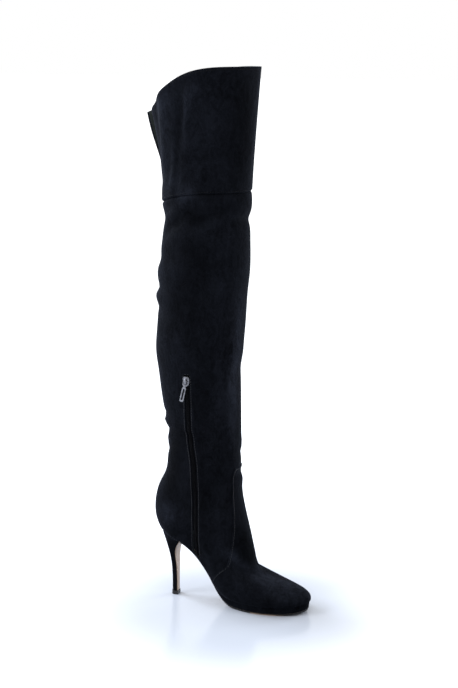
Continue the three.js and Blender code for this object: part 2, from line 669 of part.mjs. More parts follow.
function heelLift() {
  const section = (z) => {
    const ring = heelRing(0);
    const middle = ring.reduce((sum, p) => sum.add(p), new THREE.Vector3()).divideScalar(ring.length);
    return ring.map((p, k) => {
      const out = p.clone().sub(middle).setZ(0).normalize();
      const strip = k === 0 || k === ring.length - 1 ? gap + breastWall : 0;
      return p.clone().addScaledVector(out, liftProud).setZ(z).add(new THREE.Vector3(strip, 0, 0));
    });
  };
  return loft([section(0), section(liftHeight)]);
}

// Strip along the zip on the upper's own rows, a given width across the slot's middle
function zipStrip({ width, outside, inside, from, to, across }) {
  const between = upperLevels.filter((level) => level > from + seamStep && level < to - seamStep);
  const levels = [from, ...between, to];
  const first = columnCount - 1 - zipCell;
  const grid = (offset) =>
    levels.map((level) => {
      const angles = columnAngles(level).slice(first - 2, first + 4);
      const points = angles.map((angle) => upperPoint(level, angle, offset));
      const ratio = (width - zipSlot) / 2;
      const backReach = ratio / points[1].distanceTo(points[2]);
      const frontReach = ratio / points[3].distanceTo(points[4]);
      return across.map((share) => {
        if (share < 0) return points[2].clone().lerp(points[1], -share * backReach);
        if (share > 1) return points[3].clone().lerp(points[4], (share - 1) * frontReach);
        return points[2].clone().lerp(points[3], share);
      });
    });
  return shell(grid(outside), grid(inside), false);
}

const sliderLevel = zipTopLevel - 0.016;
const tapeOver = 0.014; // level by which the tape runs on past the slot's top
const zipTape = () =>
  zipStrip({
    width: zipTapeWidth,
    outside: -wall - gap,
    inside: -wall - gap - tapeWall,
    from: zipBottomLevel + 0.035,
    to: zipTopLevel + tapeOver,
    across: [-1, 0, 1, 2],
  });
const chainShare = zipChainWidth / zipSlot / 2;
const chainShort = 0.004; // level by which the chain stops short of the slot's ends
const zipChain = () =>
  zipStrip({
    width: zipSlot,
    outside: 0.1,
    inside: -wall,
    from: zipBottomLevel + chainShort,
    to: zipTopLevel - chainShort,
    across: [0.5 - chainShare, 0.5, 0.5 + chainShare],
  });

// Local frame of the slider: x across the zip, y up along it and z out of the boot
const sliderPlate = { width: 8.5, length: 12, thickness: 1.6, lift: 0.5 };
const crown = { width: 2.4, reach: 3.4, thickness: 1.2, clear: 2.1 };
const hingeOut = sliderPlate.lift + sliderPlate.thickness + crown.clear / 2;

function sliderFrame() {
  const ring = ringAt(sliderLevel);
  const angle = 2 * Math.PI - sideAngle(ring, zipX(ring));
  const at = upperPoint(sliderLevel, angle);
  const out = upperPoint(sliderLevel, angle, 1).sub(at).normalize();
  const across = new THREE.Vector3(0, 0, 1).cross(out).normalize();
  const up = out.clone().cross(across).normalize();
  return { at, out, across, up };
}

function extruded(shape, depth) {
  const geometry = new THREE.ExtrudeGeometry(shape, { depth, bevelEnabled: false, curveSegments: 5 });
  geometry.deleteAttribute('normal');
  geometry.deleteAttribute('uv');
  return geometry;
}

function welded(geometry) {
  const found = new Map();
  const position = [];
  const source = geometry.getAttribute('position');
  const corner = (i) => {
    const key = [source.getX(i), source.getY(i), source.getZ(i)].map((v) => v.toFixed(4)).join(' ');
    if (!found.has(key)) {
      found.set(key, found.size);
      position.push(source.getX(i), source.getY(i), source.getZ(i));
    }
    return found.get(key);
  };
  const corners = geometry.getIndex() ? [...geometry.getIndex().array] : [...Array(source.count).keys()];
  const index = corners.map(corner);
  const kept = [];
  for (let i = 0; i < index.length; i += 3) {
    const [a, b, c] = index.slice(i, i + 3);
    if (a !== b && b !== c && a !== c) kept.push(a, b, c);
  }
  return meshGeometry(position, kept);
}

// Slider: a rounded plate, wider at its shoulders, with a bridge over it that carries the pull
function zipSlider() {
  const { width, length, thickness, lift } = sliderPlate;
  const plate = new THREE.Shape();
  plate.moveTo(-width * 0.3, -length / 2);
  plate.lineTo(width * 0.3, -length / 2);
  plate.quadraticCurveTo(width * 0.5, -length * 0.3, width * 0.5, length * 0.2);
  plate.quadraticCurveTo(width * 0.45, length / 2, width * 0.2, length / 2);
  plate.lineTo(-width * 0.2, length / 2);
  plate.quadraticCurveTo(-width * 0.45, length / 2, -width * 0.5, length * 0.2);
  plate.quadraticCurveTo(-width * 0.5, -length * 0.3, -width * 0.3, -length / 2);
  const base = asManifold(welded(extruded(plate, thickness).translate(0, 0, lift)));
  const bridge = new THREE.Shape();
  const foot = lift + thickness - 0.2;
  const inside = lift + thickness + crown.clear;
  const reach = crown.reach;
  const leg = crown.thickness;
  bridge.moveTo(-reach, foot);
  bridge.lineTo(-reach + leg, foot);
  bridge.lineTo(-reach + leg, inside);
  bridge.lineTo(reach - leg, inside);
  bridge.lineTo(reach - leg, foot);
  bridge.lineTo(reach, foot);
  bridge.lineTo(reach, inside + leg * 0.5);
  bridge.lineTo(reach - leg, inside + leg);
  bridge.lineTo(-reach + leg, inside + leg);
  bridge.lineTo(-reach, inside + leg * 0.5);
  // The bridge is drawn in its side view, then set upright along the zip
  const upright = new THREE.Matrix4().makeBasis(
    new THREE.Vector3(0, 1, 0),
    new THREE.Vector3(0, 0, 1),
    new THREE.Vector3(1, 0, 0),
  );
  const arch = extruded(bridge, crown.width).translate(0, 0, -crown.width / 2).applyMatrix4(upright);
  return fromManifold(base.add(asManifold(welded(arch))));
}

// Pull: a flat loop round the bridge, a neck and a slim bar with a slot, hanging from the hinge line
function zipPull() {
  const loopHalf = 3.5;
  const holeHalf = 2.4;
  const barTop = 0.7;
  const holeEnd = -5;
  const neckHalf = 1.3;
  const barHalf = 2.7;
  const thickness = 0.9;
  const outline = new THREE.Shape();
  outline.moveTo(-loopHalf, barTop);
  outline.lineTo(-loopHalf, holeEnd);
  outline.lineTo(-neckHalf, holeEnd - 2.2);
  outline.lineTo(-barHalf, holeEnd - 4.5);
  outline.lineTo(-barHalf, -pullLength + 2);
  outline.quadraticCurveTo(-barHalf, -pullLength, 0, -pullLength);
  outline.quadraticCurveTo(barHalf, -pullLength, barHalf, -pullLength + 2);
  outline.lineTo(barHalf, holeEnd - 4.5);
  outline.lineTo(neckHalf, holeEnd - 2.2);
  outline.lineTo(loopHalf, holeEnd);
  outline.lineTo(loopHalf, barTop);
  const slot = (half, top, bottom) => {
    const hole = new THREE.Path();
    hole.moveTo(-half, top);
    hole.lineTo(half, top);
    hole.lineTo(half, bottom);
    hole.lineTo(-half, bottom);
    hole.lineTo(-half, top);
    return hole;
  };
  outline.holes.push(slot(holeHalf, -barTop, holeEnd + 0.5));
  outline.holes.push(slot(barHalf * 0.42, holeEnd - 5.2, -pullLength + 2.6));
  return welded(extruded(outline, thickness).translate(0, 0, -thickness / 2));
}

const suede = new THREE.MeshStandardMaterial({ color: 0x14151a, roughness: 0.95, metalness: 0 });
const nudeLeather = new THREE.MeshStandardMaterial({ color: 0xb08d76, roughness: 0.5, metalness: 0 });
const lining = new THREE.MeshStandardMaterial({ color: 0x8f7a68, roughness: 0.7, metalness: 0 });
const rubber = new THREE.MeshStandardMaterial({ color: 0x0c0c0d, roughness: 0.6, metalness: 0 });
const tape = new THREE.MeshStandardMaterial({ color: 0x101014, roughness: 0.85, metalness: 0 });
const steel = new THREE.MeshStandardMaterial({ color: 0xb9bcc2, roughness: 0.25, metalness: 1 });

function node(name, geometry, material) {
  const mesh = new THREE.Mesh(geometry, material);
  mesh.name = name;
  return mesh;
}

function zipHardware() {
  const { at, out, across, up } = sliderFrame();
  const group = new THREE.Group();
  group.position.copy(at);
  group.quaternion.setFromRotationMatrix(new THREE.Matrix4().makeBasis(across, up, out));
  const pull = node('zip_pull', zipPull(), steel);
  pull.position.set(0, 0, hingeOut);
  const overhang = Math.asin(THREE.MathUtils.clamp(-out.z, -1, 1));
  pull.rotation.set(-overhang, 0, -THREE.MathUtils.degToRad(pullLean), 'XYZ');
  group.add(node('zip_slider', zipSlider(), steel), pull);
  return group;
}

const boot = new THREE.Group();
boot.add(
  node('upper', upper(), suede),
  node('vamp', vamp(), suede),
  node('thigh_band', thighBand(), suede),
  node('platform', platform(), suede),
  node('outsole', outsole(), nudeLeather),
  node('insole', insole(), lining),
  node('heel', heel(), suede),
  node('heel_breast', heelBreast(), nudeLeather),
  node('heel_lift', heelLift(), rubber),
  node('zip_tape', zipTape(), tape),
  node('zip_chain', zipChain(), tape),
  zipHardware(),
);

export default boot;
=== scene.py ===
"""A suede over-the-knee boot for the left foot, dressed round its solid frame.

Metres, +X to the toe, +Y to the outer side, +Z up, the origin under the middle of the heel tip. The tables
below are in millimetres and degrees, on the boot itself. "run" is the height along the leg's middle line,
which turns into the foot below the ankle. "turn" goes round it: 0 at the front, 90 on the outer side,
-90 on the inner side with the zip, 180 at the back.
"""

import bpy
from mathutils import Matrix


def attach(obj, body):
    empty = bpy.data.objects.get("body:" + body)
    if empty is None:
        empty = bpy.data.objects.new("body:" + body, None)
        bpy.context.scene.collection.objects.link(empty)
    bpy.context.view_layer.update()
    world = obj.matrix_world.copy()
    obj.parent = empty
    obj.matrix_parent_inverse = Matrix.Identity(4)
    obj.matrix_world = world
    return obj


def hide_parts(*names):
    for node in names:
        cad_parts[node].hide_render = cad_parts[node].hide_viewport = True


bl_info = {
    "name": "Over-the-Knee Boot",
    "version": (1, 0, 0),
    "blender": (4, 5, 0),
    "location": "View3D > Sidebar > Boot",
    "description": "Dresses a suede over-the-knee boot: skin, creases, seams, zip, heel, sole and stage",
    "category": "Object",
}

from collections import namedtuple
from math import atan, cos, pi, radians, sin

import bmesh
import bpy
import numpy as np
from mathutils import Matrix, Quaternion, Vector
from mathutils.bvhtree import BVHTree
from mathutils.kdtree import KDTree

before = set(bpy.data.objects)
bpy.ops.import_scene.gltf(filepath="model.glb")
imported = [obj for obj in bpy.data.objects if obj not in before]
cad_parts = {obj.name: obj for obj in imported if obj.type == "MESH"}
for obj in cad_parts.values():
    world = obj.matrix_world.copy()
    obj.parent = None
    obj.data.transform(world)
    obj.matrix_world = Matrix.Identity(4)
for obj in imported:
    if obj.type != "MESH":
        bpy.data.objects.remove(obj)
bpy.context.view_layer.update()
MM = 0.001

# Middle line of the leg and the foot: x and z from the top edge to the toe
LegPoint = namedtuple("LegPoint", "x z")
LEG_LINE = [
    LegPoint(38, 780),
    LegPoint(37, 560),
    LegPoint(35, 380),
    LegPoint(39, 250),
    LegPoint(34, 172),
    LegPoint(62, 108),
    LegPoint(110, 52),
    LegPoint(200, 18),
]
RUN_AT_ANKLE = 225

# Soft troughs (depth below nought) and ridges of the leather. tilt: 0 runs round the leg and 90 along it.
# reach: half the fold's length. width: half its breadth. bow: how far its ends drop, in widths.
Crease = namedtuple("Crease", "place run turn tilt reach width depth bow", defaults=(0.0,))
CREASES = [Crease(*row) for row in [
    ("thigh, front trough", 522, -8, 4, 44, 8, -0.9, 0.3),
    ("thigh, inner diagonal", 531, -56, 22, 40, 8, -1.7, 0.2),
    ("thigh, inner roll", 519, -48, 22, 40, 9, 1.1, 0.2),
    ("thigh, low roll", 500, -34, 12, 40, 11, 1.0, 0.3),
    ("thigh, outer diagonal", 521, 58, 20, 44, 9, -1.5, 0.5),
    ("thigh, outer roll", 537, 46, 15, 40, 10, 1.2, 0.3),
    ("thigh, inner second", 522, -104, 28, 34, 8, -1.6, 0.2),
    ("thigh, back fan up", 532, -140, 30, 34, 8, -1.4),
    ("thigh, back fan low", 512, -128, 40, 36, 8, -1.2),
    ("knee, hollow", 470, -150, 12, 40, 10, -1.3, 0.6),
    ("knee, hollow roll", 455, -146, 8, 40, 10, 1.2, 0.6),
    ("knee, inner hollow", 486, -95, -12, 38, 12, -1.0, 0.4),
    ("knee, back trough", 430, 178, 0, 46, 7, -1.6, 0.5),
    ("knee, back ridge", 419, 176, 3, 46, 6, 1.2, 0.5),
    ("knee, second trough", 404, -168, -8, 40, 7, -1.2, 0.4),
    ("knee, outer trough", 470, 150, -10, 40, 10, -1.3, 0.6),
    ("knee, outer ridge", 452, 140, -6, 40, 10, 1.2, 0.5),
    ("knee, front pan", 455, 0, 0, 40, 26, 0.9),
    ("calf, slack trough", 372, -120, -34, 44, 10, -0.9, 0.2),
    ("calf, slack ridge", 356, -108, -30, 44, 11, 0.8, 0.2),
    ("calf, outer slack", 366, 118, 30, 44, 11, -0.9, 0.2),
    ("shin, front edge", 346, -12, 0, 26, 12, 0.8),
    ("shin, low edge", 322, -6, 4, 26, 10, -0.7),
    ("shin, long ridge", 300, -34, 78, 60, 8, 0.7),
    ("zip, upper buckle", 282, -118, 6, 20, 7, -0.9),
    ("ankle, back trough", 238, -160, 10, 36, 6, -1.7, 0.5),
    ("ankle, back ridge", 249, -164, 6, 38, 6, 1.3, 0.5),
    ("ankle, back trough 2", 259, -152, -12, 34, 6, -1.2, 0.4),
    ("ankle, back ridge 2", 228, -148, 22, 30, 6, 1.1, 0.4),
    ("ankle, back trough 3", 217, -150, 26, 30, 6, -1.3, 0.4),
    ("ankle, beside the zip", 236, -82, -14, 22, 6, -1.3, 0.4),
    ("ankle, beside the zip, ridge", 246, -84, -10, 24, 6, 0.9, 0.4),
    ("ankle, outer trough", 236, 140, -14, 40, 7, -1.6, 0.5),
    ("ankle, outer ridge", 247, 146, -8, 40, 7, 1.3, 0.5),
    ("ankle, outer low", 220, 124, -24, 34, 7, -1.2, 0.4),
    ("ankle, front trough", 212, -6, 2, 34, 7, -0.9, -0.3),
    ("ankle, front ridge", 224, -6, 0, 34, 8, 0.7, -0.3),
    ("instep, break", 168, -20, 16, 34, 8, -0.9, -0.3),
    ("instep, break, outer", 170, 30, -16, 34, 8, -0.9, -0.3),
    ("instep, roll", 156, 0, 0, 34, 9, 0.7),
    ("arch, drag", 150, -104, 48, 30, 8, -0.8),
    ("arch, drag, outer", 150, 104, -48, 30, 8, -0.8),
    ("ball, flex", 34, -26, 12, 26, 6, -0.5),
    ("ball, flex, outer", 34, 26, -12, 26, 6, -0.5),
    ("ball, flex, toe", 18, 0, 0, 22, 6, -0.35),
    ("band, back pleat", 640, -152, 84, 58, 8, -1.6),
    ("band, back pleat, edge", 648, -136, 82, 60, 9, 1.3),
    ("band, second pleat", 620, -118, 76, 46, 10, -1.0),
    ("band, low tuck", 580, -140, 30, 30, 8, -1.2),
    ("band, low puff", 553, -98, 20, 22, 11, 1.2),
    ("band, upper fold", 652, -103, 88, 34, 5, -1.3),
    ("band, upper fold, ridge", 655, -96, 88, 34, 5, 1.1),
    ("band, top puff", 676, -88, 82, 18, 9, 1.1),
    ("band, flap crease", 648, -134, -38, 18, 4, -0.9),
    ("band, flap crease, ridge", 643, -128, -36, 18, 4, 0.8),
    ("band, long pleat", 598, -112, 87, 50, 5, -1.0),
    ("band, long pleat, ridge", 600, -119, 86, 50, 6, 1.0),
    ("band, outer pleat", 636, 150, -84, 58, 9, -1.4),
    ("band, outer sag", 610, 96, -60, 50, 14, 0.9),
    ("band, front sag", 640, -34, 70, 60, 16, -0.8),
    ("band, front fold", 600, -8, 80, 36, 10, 0.6),
]]

# Grooves of the sewn seams, and the ends of the back seam along the run
Groove = namedtuple("Groove", "depth half")
BACK_GROOVE = Groove(0.55, 1.1)
BAND_GROOVE = Groove(1.3, 1.8)
BACK_SEAM_RUN = (112, 556)
SEAM_FADE = 8  # the back seam's groove fades out over this length

# Places where the leather is held flat: the slider on its zip, the seat of the heel and the sole's edge
Held = namedtuple("Held", "x y z radius")
HELD = [
    Held(28, -48, 311, 26),
    Held(-4, 0, 92, 34),
    Held(70, -28, 20, 26),
    Held(110, -38, 14, 26),
]

# Painted highlights and painted shade on the nap: light and dark strokes laid along the leg, lift above
# nought for painted light and below it for painted shade
PaintedStroke = namedtuple("PaintedStroke", "place run turn tilt reach width lift")
PAINTED_STROKES = [PaintedStroke(*row) for row in [
    ("band, back edge", 650, -160, 88, 66, 12, 0.5),
    ("band, pleat light", 610, -136, 80, 60, 7, 0.55),
    ("band, top back", 676, -122, 50, 30, 18, 0.5),
    ("band, low puff", 553, -99, 25, 14, 9, 1.1),
    ("band, top patch", 678, -88, 85, 15, 8, 1.1),
    ("band, long light", 598, -121, 80, 34, 4, 0.5),
    ("band, flap light", 664, -140, 30, 14, 7, 0.8),
    ("band, fold light", 654, -97, 84, 24, 3, 0.45),
    ("band, middle", 640, -74, 80, 60, 22, 0.15),
    ("band, front dark", 640, -18, 86, 60, 16, -0.5),
    ("shaft, under the band", 540, -150, 70, 26, 10, 0.6),
    ("shaft, back edge", 450, -164, 88, 60, 11, 0.75),
    ("shaft, back of the calf dark", 345, -166, 88, 36, 12, -0.35),
    ("shaft, back calf", 376, -150, 80, 40, 14, -0.2),
    ("shaft, middle dark", 440, -92, 85, 90, 24, -0.45),
    ("shaft, front knee", 470, -40, 84, 70, 12, 0.3),
    ("shin, front edge", 330, -18, 88, 80, 9, 2.5),
    ("shin, second", 300, -48, 86, 60, 9, 0.35),
    ("shin, dark", 290, -72, 86, 70, 14, -0.35),
    ("calf, haze", 350, -112, 60, 30, 18, 0.3),
    ("heel, counter", 144, -150, 70, 13, 10, 1.7),
    ("band, low patch", 568, -124, 28, 13, 8, 1.0),
    ("ankle, back dark", 200, -136, 80, 44, 20, -0.8),
    ("heel, behind", 130, 176, 84, 40, 16, 0.9),
    ("arch, dark", 150, -84, 60, 40, 16, -0.5),
    ("instep, side", 140, -52, 75, 40, 12, 0.2),
    ("toe, top", -4, -22, 60, 24, 12, 1.1),
    ("toe, side", -12, -72, 84, 30, 8, 1.2),
    ("feather, light", 16, -98, 88, 56, 4, 1.3),
    ("ball, patch", 60, -100, 80, 16, 7, 1.2),
    ("toe, tip", -46, -34, 0, 16, 12, 0.8),
    ("vamp, dark", 62, -48, 75, 30, 12, -0.5),
    ("shaft, outer light", 430, 120, 86, 90, 18, 0.5),
    ("shaft, outer dark", 330, 90, 86, 70, 20, -0.4),
    ("band, outer light", 640, 110, 80, 50, 18, 0.45),
    ("shin, outer light", 300, 40, 88, 80, 12, 0.5),
]]

# Soft boxes, in metres and watts
Lamp = namedtuple("Lamp", "name place size power colour")
LAMPS = [
    Lamp("left_back", (-1.7, 0.35, 1.2), 1.1, 68, (0.86, 0.92, 1.0)),
    Lamp("right_back", (1.25, 1.3, 0.5), 0.9, 30, (0.86, 0.92, 1.0)),
    Lamp("key_left", (-1.9, -1.5, 1.7), 1.2, 60, (0.92, 0.95, 1.0)),
    Lamp("overhead", (0.3, -0.5, 2.6), 1.6, 30, (1.0, 1.0, 1.0)),
]


# Sizes and colours


def colour_property(name, description, default):
    return bpy.props.FloatVectorProperty(
        name=name, description=description, subtype="COLOR", size=3, default=default
    )


def length_property(name, description, millimetres):
    return bpy.props.FloatProperty(
        name=name, description=description, unit="LENGTH", default=millimetres * MM
    )


def factor_property(name, description, top, default):
    return bpy.props.FloatProperty(
        name=name, description=description, min=0, max=top, subtype="FACTOR", default=default
    )


def angle_property(name, description, default):
    return bpy.props.FloatProperty(
        name=name, description=description, subtype="ANGLE", unit="ROTATION", default=default
    )


class BootSkin(bpy.types.PropertyGroup):
    """Suede, lining and creases"""

    suede_deep: colour_property("Suede, deep", "Colour of the nap in shade", (0.0006, 0.0007, 0.0010))
    # The lighter end of the suede's colour: random tone, worn edges and painted highlights reach towards it
    suede_lit: colour_property("Suede, lighter", "Colour of the lighter nap, for random tone and painted light", (0.0080, 0.0094, 0.0138))
    lining: colour_property("Lining", "Colour of the shaft's lining", (0.014, 0.019, 0.0185))
    sheen: factor_property("Sheen", "Light that the fibres catch at a flat angle", 1, 0.035)
    creases: factor_property("Creases", "Depth of all creases against the table", 2, 1.5)
    edge_round: length_property("Edge rounding", "Rounding of the cut and folded edges", 0.45)
    levels: bpy.props.IntProperty(
        name="Smoothing", description="Subdivisions of the solids", min=1, max=2, default=2
    )


class BootSeams(bpy.types.PropertyGroup):
    """Threads and seams"""

    thread: colour_property("Thread", "Colour of the thread", (0.007, 0.0078, 0.0104))
    dark_thread: colour_property("Dark thread", "Thread on band and back", (0.0018, 0.002, 0.0027))
    length: length_property("Stitch", "Length of one stitch", 2.6)
    gap: length_property("Gap", "Gap between stitches", 0.7)
    thickness: length_property("Thread thickness", "Thickness of the thread", 0.55)
    inset: length_property("Seam inset", "From an edge to its stitches", 2.0)
    zip_inset: length_property("Zip inset", "From the zip's slot to its stitches", 1.3)
    collar_inset: length_property("Collar inset", "From the top edge and the slit to their stitches", 3.0)
    back_inset: length_property("Back seam inset", "From the back seam to each of its rows", 1.9)


class BootTrim(bpy.types.PropertyGroup):
    """Heel, sole and zip"""

    sole_leather: colour_property("Sole leather", "Colour of outsole and breast", (0.25, 0.175, 0.125))
    sock: colour_property("Sock", "Colour of the insole's leather", (0.27, 0.20, 0.15))
    top_piece: colour_property("Top piece", "Colour of the heel's rubber", (0.009, 0.009, 0.010))
    edge_ink: colour_property("Edge ink", "Colour of the outsole's edge", (0.004, 0.004, 0.0045))
    bare_edge: length_property("Bare edge", "Height of the outsole's edge without ink", 1.2)
    bare_from: length_property("Bare edge from", "Where the edge without ink begins, from the heel", 118)
    tape: colour_property("Zip tape", "Colour of the woven tape", (0.0022, 0.0024, 0.0034))
    metal: colour_property("Zip metal", "Colour of slider and pull", (0.1, 0.103, 0.115))
    tooth_pitch: length_property("Coil pitch", "From one turn of the coil to the next", 1.5)
    tooth_width: length_property("Coil width", "Width of the closed coil", 4.4)
    metal_round: length_property("Metal rounding", "Rounding of the metal's edges", 0.28)


class BootStage(bpy.types.PropertyGroup):
    """Floor, light and camera"""

    # painted shade: a bluish grey that shows only round the boot, where the floor's glow doesn't reach
    floor: colour_property("Floor", "Colour of the floor", (0.36, 0.385, 0.435))
    glow: bpy.props.FloatProperty(
        name="Floor glow", description="Light of the sheet away from the boot", default=0.75
    )
    room: bpy.props.FloatProperty(name="Room light", description="Strength of the white room", default=1.0)
    heading: angle_property("Heading", "Side from which the boot is seen", radians(21))
    aim: angle_property("Aim", "Turn to the right that brings the boot to the middle", atan(65 / 1430))
    pitch: angle_property("Pitch", "How far the camera looks down", radians(11.81))
    lens: bpy.props.FloatProperty(
        name="Lens", description="Focal length in millimetres", subtype="DISTANCE_CAMERA", default=74.8
    )
    place: bpy.props.FloatVectorProperty(
        name="Camera", description="Place of the camera", subtype="TRANSLATION", unit="LENGTH", size=3,
        default=(0.6465, -1.7323, 0.735),
    )


# The leg's own coordinates


BLOCK = 4000  # points worked on at a time
BLEND = 15.0  # how far along the middle line a point's own place is blended, in millimetres


def lengths_along(points):
    """Length of a line up to each of its points."""
    return np.concatenate([[0], np.cumsum(np.linalg.norm(np.diff(points, axis=0), axis=1))])


def points_at(line, at):
    """Points of a line at these lengths along it."""
    length = lengths_along(line)
    return np.stack([np.interp(at, length, column) for column in line.T], 1)


def middle_line(step=6.0):
    """Points of the leg's middle line, smoothed, with the run at each."""
    line = np.array([(p.x, p.z) for p in LEG_LINE], float)
    points = points_at(line, np.arange(0, lengths_along(line)[-1], step))
    for _ in range(12):
        points[1:-1] = (points[:-2] + 2 * points[1:-1] + points[2:]) / 4
    length = lengths_along(points)
    ankle = np.argmin(np.abs(points[:, 1] - RUN_AT_ANKLE))
    return points, length[ankle] - length + RUN_AT_ANKLE


MIDDLE, RUN = middle_line()
ALONG = np.gradient(MIDDLE, axis=0)
ALONG /= np.linalg.norm(ALONG, axis=1)[:, None]


def leg_places(points):
    """Run, turn, distance and outward direction of each point, an array in metres."""
    p = np.asarray(points, float) / MM
    run, turn, reach = (np.empty(len(p)) for _ in range(3))
    outward = np.empty((len(p), 3))
    for i in range(0, len(p), BLOCK):
        part = slice(i, i + BLOCK)
        q = p[part]
        away = ((q[:, None, [0, 2]] - MIDDLE[None]) ** 2).sum(2)
        weight = np.exp(-(away - away.min(1)[:, None]) / (2 * BLEND**2))
        weight /= weight.sum(1)[:, None]
        middle, along = weight @ MIDDLE, weight @ ALONG
        along /= np.linalg.norm(along, axis=1)[:, None]
        front = np.stack([-along[:, 1], along[:, 0]], 1)
        flat = ((q[:, [0, 2]] - middle) * front).sum(1)
        run[part] = weight @ RUN
        turn[part] = np.degrees(np.arctan2(q[:, 1], flat))
        reach[part] = np.hypot(q[:, 1], flat)
        out = np.stack([front[:, 0] * flat, q[:, 1], front[:, 1] * flat], 1)
        outward[part] = out / np.maximum(np.linalg.norm(out, axis=1), 1e-6)[:, None]
    return run, turn, reach, outward


def fold_field(rows, run, turn, reach, height):
    """Sum of soft strokes on the leather, each a long bump with round ends."""
    total = np.zeros(len(run))
    for row in rows:
        round_way = np.radians((turn - row.turn + 180) % 360 - 180) * reach
        up = run - row.run
        tilt = radians(row.tilt)
        along = (round_way * cos(tilt) + up * sin(tilt)) / row.reach
        across = (up * cos(tilt) - round_way * sin(tilt)) / row.width
        across = across + getattr(row, "bow", 0) * along**2
        total += height(row) * np.exp(-np.abs(along) ** 3 - across**2)
    return total


def measure_band_seam():
    """Height of the band's lower edge at each whole turn, in millimetres."""
    points = np.array([v.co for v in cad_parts["thigh_band"].data.vertices])
    _, turn, _, _ = leg_places(points)
    low = [points[np.abs((turn - at + 180) % 360 - 180) < 12, 2].min() / MM for at in range(360)]
    doubled = np.convolve(low + low + low, np.ones(15) / 15, "same")
    return doubled[360:720]


def band_seam_height(turn):
    return np.interp(np.asarray(turn) % 360, np.arange(361), np.append(BAND_SEAM, BAND_SEAM[0]))


def crease_depth(points):
    """How far each point moves outwards, in metres, with its outward direction."""
    run, turn, reach, outward = leg_places(points)
    strength = bpy.context.scene.boot_skin.creases
    depth = fold_field(CREASES, run, turn, reach, lambda row: row.depth) * strength
    for held in HELD:
        away = np.linalg.norm(np.asarray(points) / MM - (held.x, held.y, held.z), axis=1)
        share = np.clip((away - held.radius * 0.5) / held.radius, 0, 1)
        depth *= share**2 * (3 - 2 * share)
    low, high = BACK_SEAM_RUN
    across = np.radians(turn % 360 - 180) * reach
    inside = np.clip((run - low) / SEAM_FADE, 0, 1) * np.clip((high - run) / SEAM_FADE, 0, 1)
    depth -= BACK_GROOVE.depth * np.exp(-((across / BACK_GROOVE.half) ** 2)) * inside
    above = np.asarray(points)[:, 2] / MM - band_seam_height(turn)
    depth -= BAND_GROOVE.depth * np.exp(-np.abs(above / BAND_GROOVE.half) ** 1.5)
    return depth * MM, outward


def drape(points):
    """The points after the creases have moved them."""
    depth, outward = crease_depth(points)
    return np.asarray(points) + outward * depth[:, None]


BAND_SEAM = measure_band_seam()


# Modelling helpers


def select_only(obj):
    bpy.ops.object.select_all(action="DESELECT")
    obj.select_set(True)
    bpy.context.view_layer.objects.active = obj


def apply_modifier(obj, kind, **settings):
    select_only(obj)
    modifier = obj.modifiers.new(kind.title(), kind)
    for name, value in settings.items():
        setattr(modifier, name, value)
    bpy.ops.object.modifier_apply(modifier=modifier.name)


def round_corners(obj, width, segments, angle):
    apply_modifier(obj, "BEVEL", width=width, segments=segments, limit_method="ANGLE", angle_limit=angle)


def add_object(name, data):
    obj = bpy.data.objects.new(name, data)
    bpy.context.scene.collection.objects.link(obj)
    return obj


def coordinates(obj):
    flat = np.empty(len(obj.data.vertices) * 3)
    obj.data.vertices.foreach_get("co", flat)
    return flat.reshape(-1, 3)


def set_coordinates(obj, points):
    obj.data.vertices.foreach_set("co", np.asarray(points, float).ravel())
    obj.data.update()


def set_attribute(obj, name, values):
    attribute = obj.data.attributes.new(name, "FLOAT", "POINT")
    attribute.data.foreach_set("value", np.asarray(values, float))


def restore_quads(bm, corner):
    """Takes out the diagonals of a regular grid of triangles.

    Two triangles that share an edge are a slanted four-sided patch whose opposite edges run the same way,
    so one triangle names the ways of a whole face.
    """
    seen, diagonals = set(), []
    for seed in bm.faces:
        if seed in seen:
            continue
        way = {edge: i for i, edge in enumerate(seed.edges)}
        seen.add(seed)
        stack, inside = [seed], []
        while stack:
            face = stack.pop()
            for edge in face.edges:
                if len(edge.link_faces) != 2 or edge.calc_face_angle(0) > corner:
                    continue
                inside.append(edge)
                other = next(f for f in edge.link_faces if f != face)
                if other in seen:
                    continue
                seen.add(other)
                stack.append(other)
                p, q = edge.verts
                r = next(v for v in face.verts if v not in edge.verts)
                s = next(v for v in other.verts if v not in edge.verts)
                side = {frozenset(e.verts): e for e in (*face.edges, *other.edges)}
                way[side[frozenset((p, s))]] = way[side[frozenset((q, r))]]
                way[side[frozenset((s, q))]] = way[side[frozenset((r, p))]]
        inside = set(inside)
        length = [sum(e.calc_length() for e in inside if way[e] == i) for i in range(3)]
        diagonals += [e for e in inside if way[e] == length.index(max(length))]
    single = [e for e in diagonals if all(len(f.verts) == 3 for f in e.link_faces)]
    bmesh.ops.dissolve_edges(bm, edges=single, use_verts=False)


def piece_from(node, name, corner=radians(50), quads=True):
    """A merged copy of a frame node, in four-sided faces, with its corners held sharp."""
    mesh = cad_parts[node].data.copy()
    mesh.name = name
    mesh.materials.clear()
    obj = add_object(name, mesh)
    bm = bmesh.new()
    bm.from_mesh(mesh)
    bmesh.ops.remove_doubles(bm, verts=bm.verts, dist=0.01 * MM)
    if quads:
        restore_quads(bm, corner)
    else:
        bmesh.ops.dissolve_limit(
            bm, angle_limit=radians(1), use_dissolve_boundaries=False, verts=bm.verts, edges=bm.edges
        )
    crease = bm.edges.layers.float.get("crease_edge") or bm.edges.layers.float.new("crease_edge")
    for edge in bm.edges:
        edge[crease] = float(edge.calc_face_angle(0) > corner)
    bm.to_mesh(mesh)
    bm.free()
    return obj


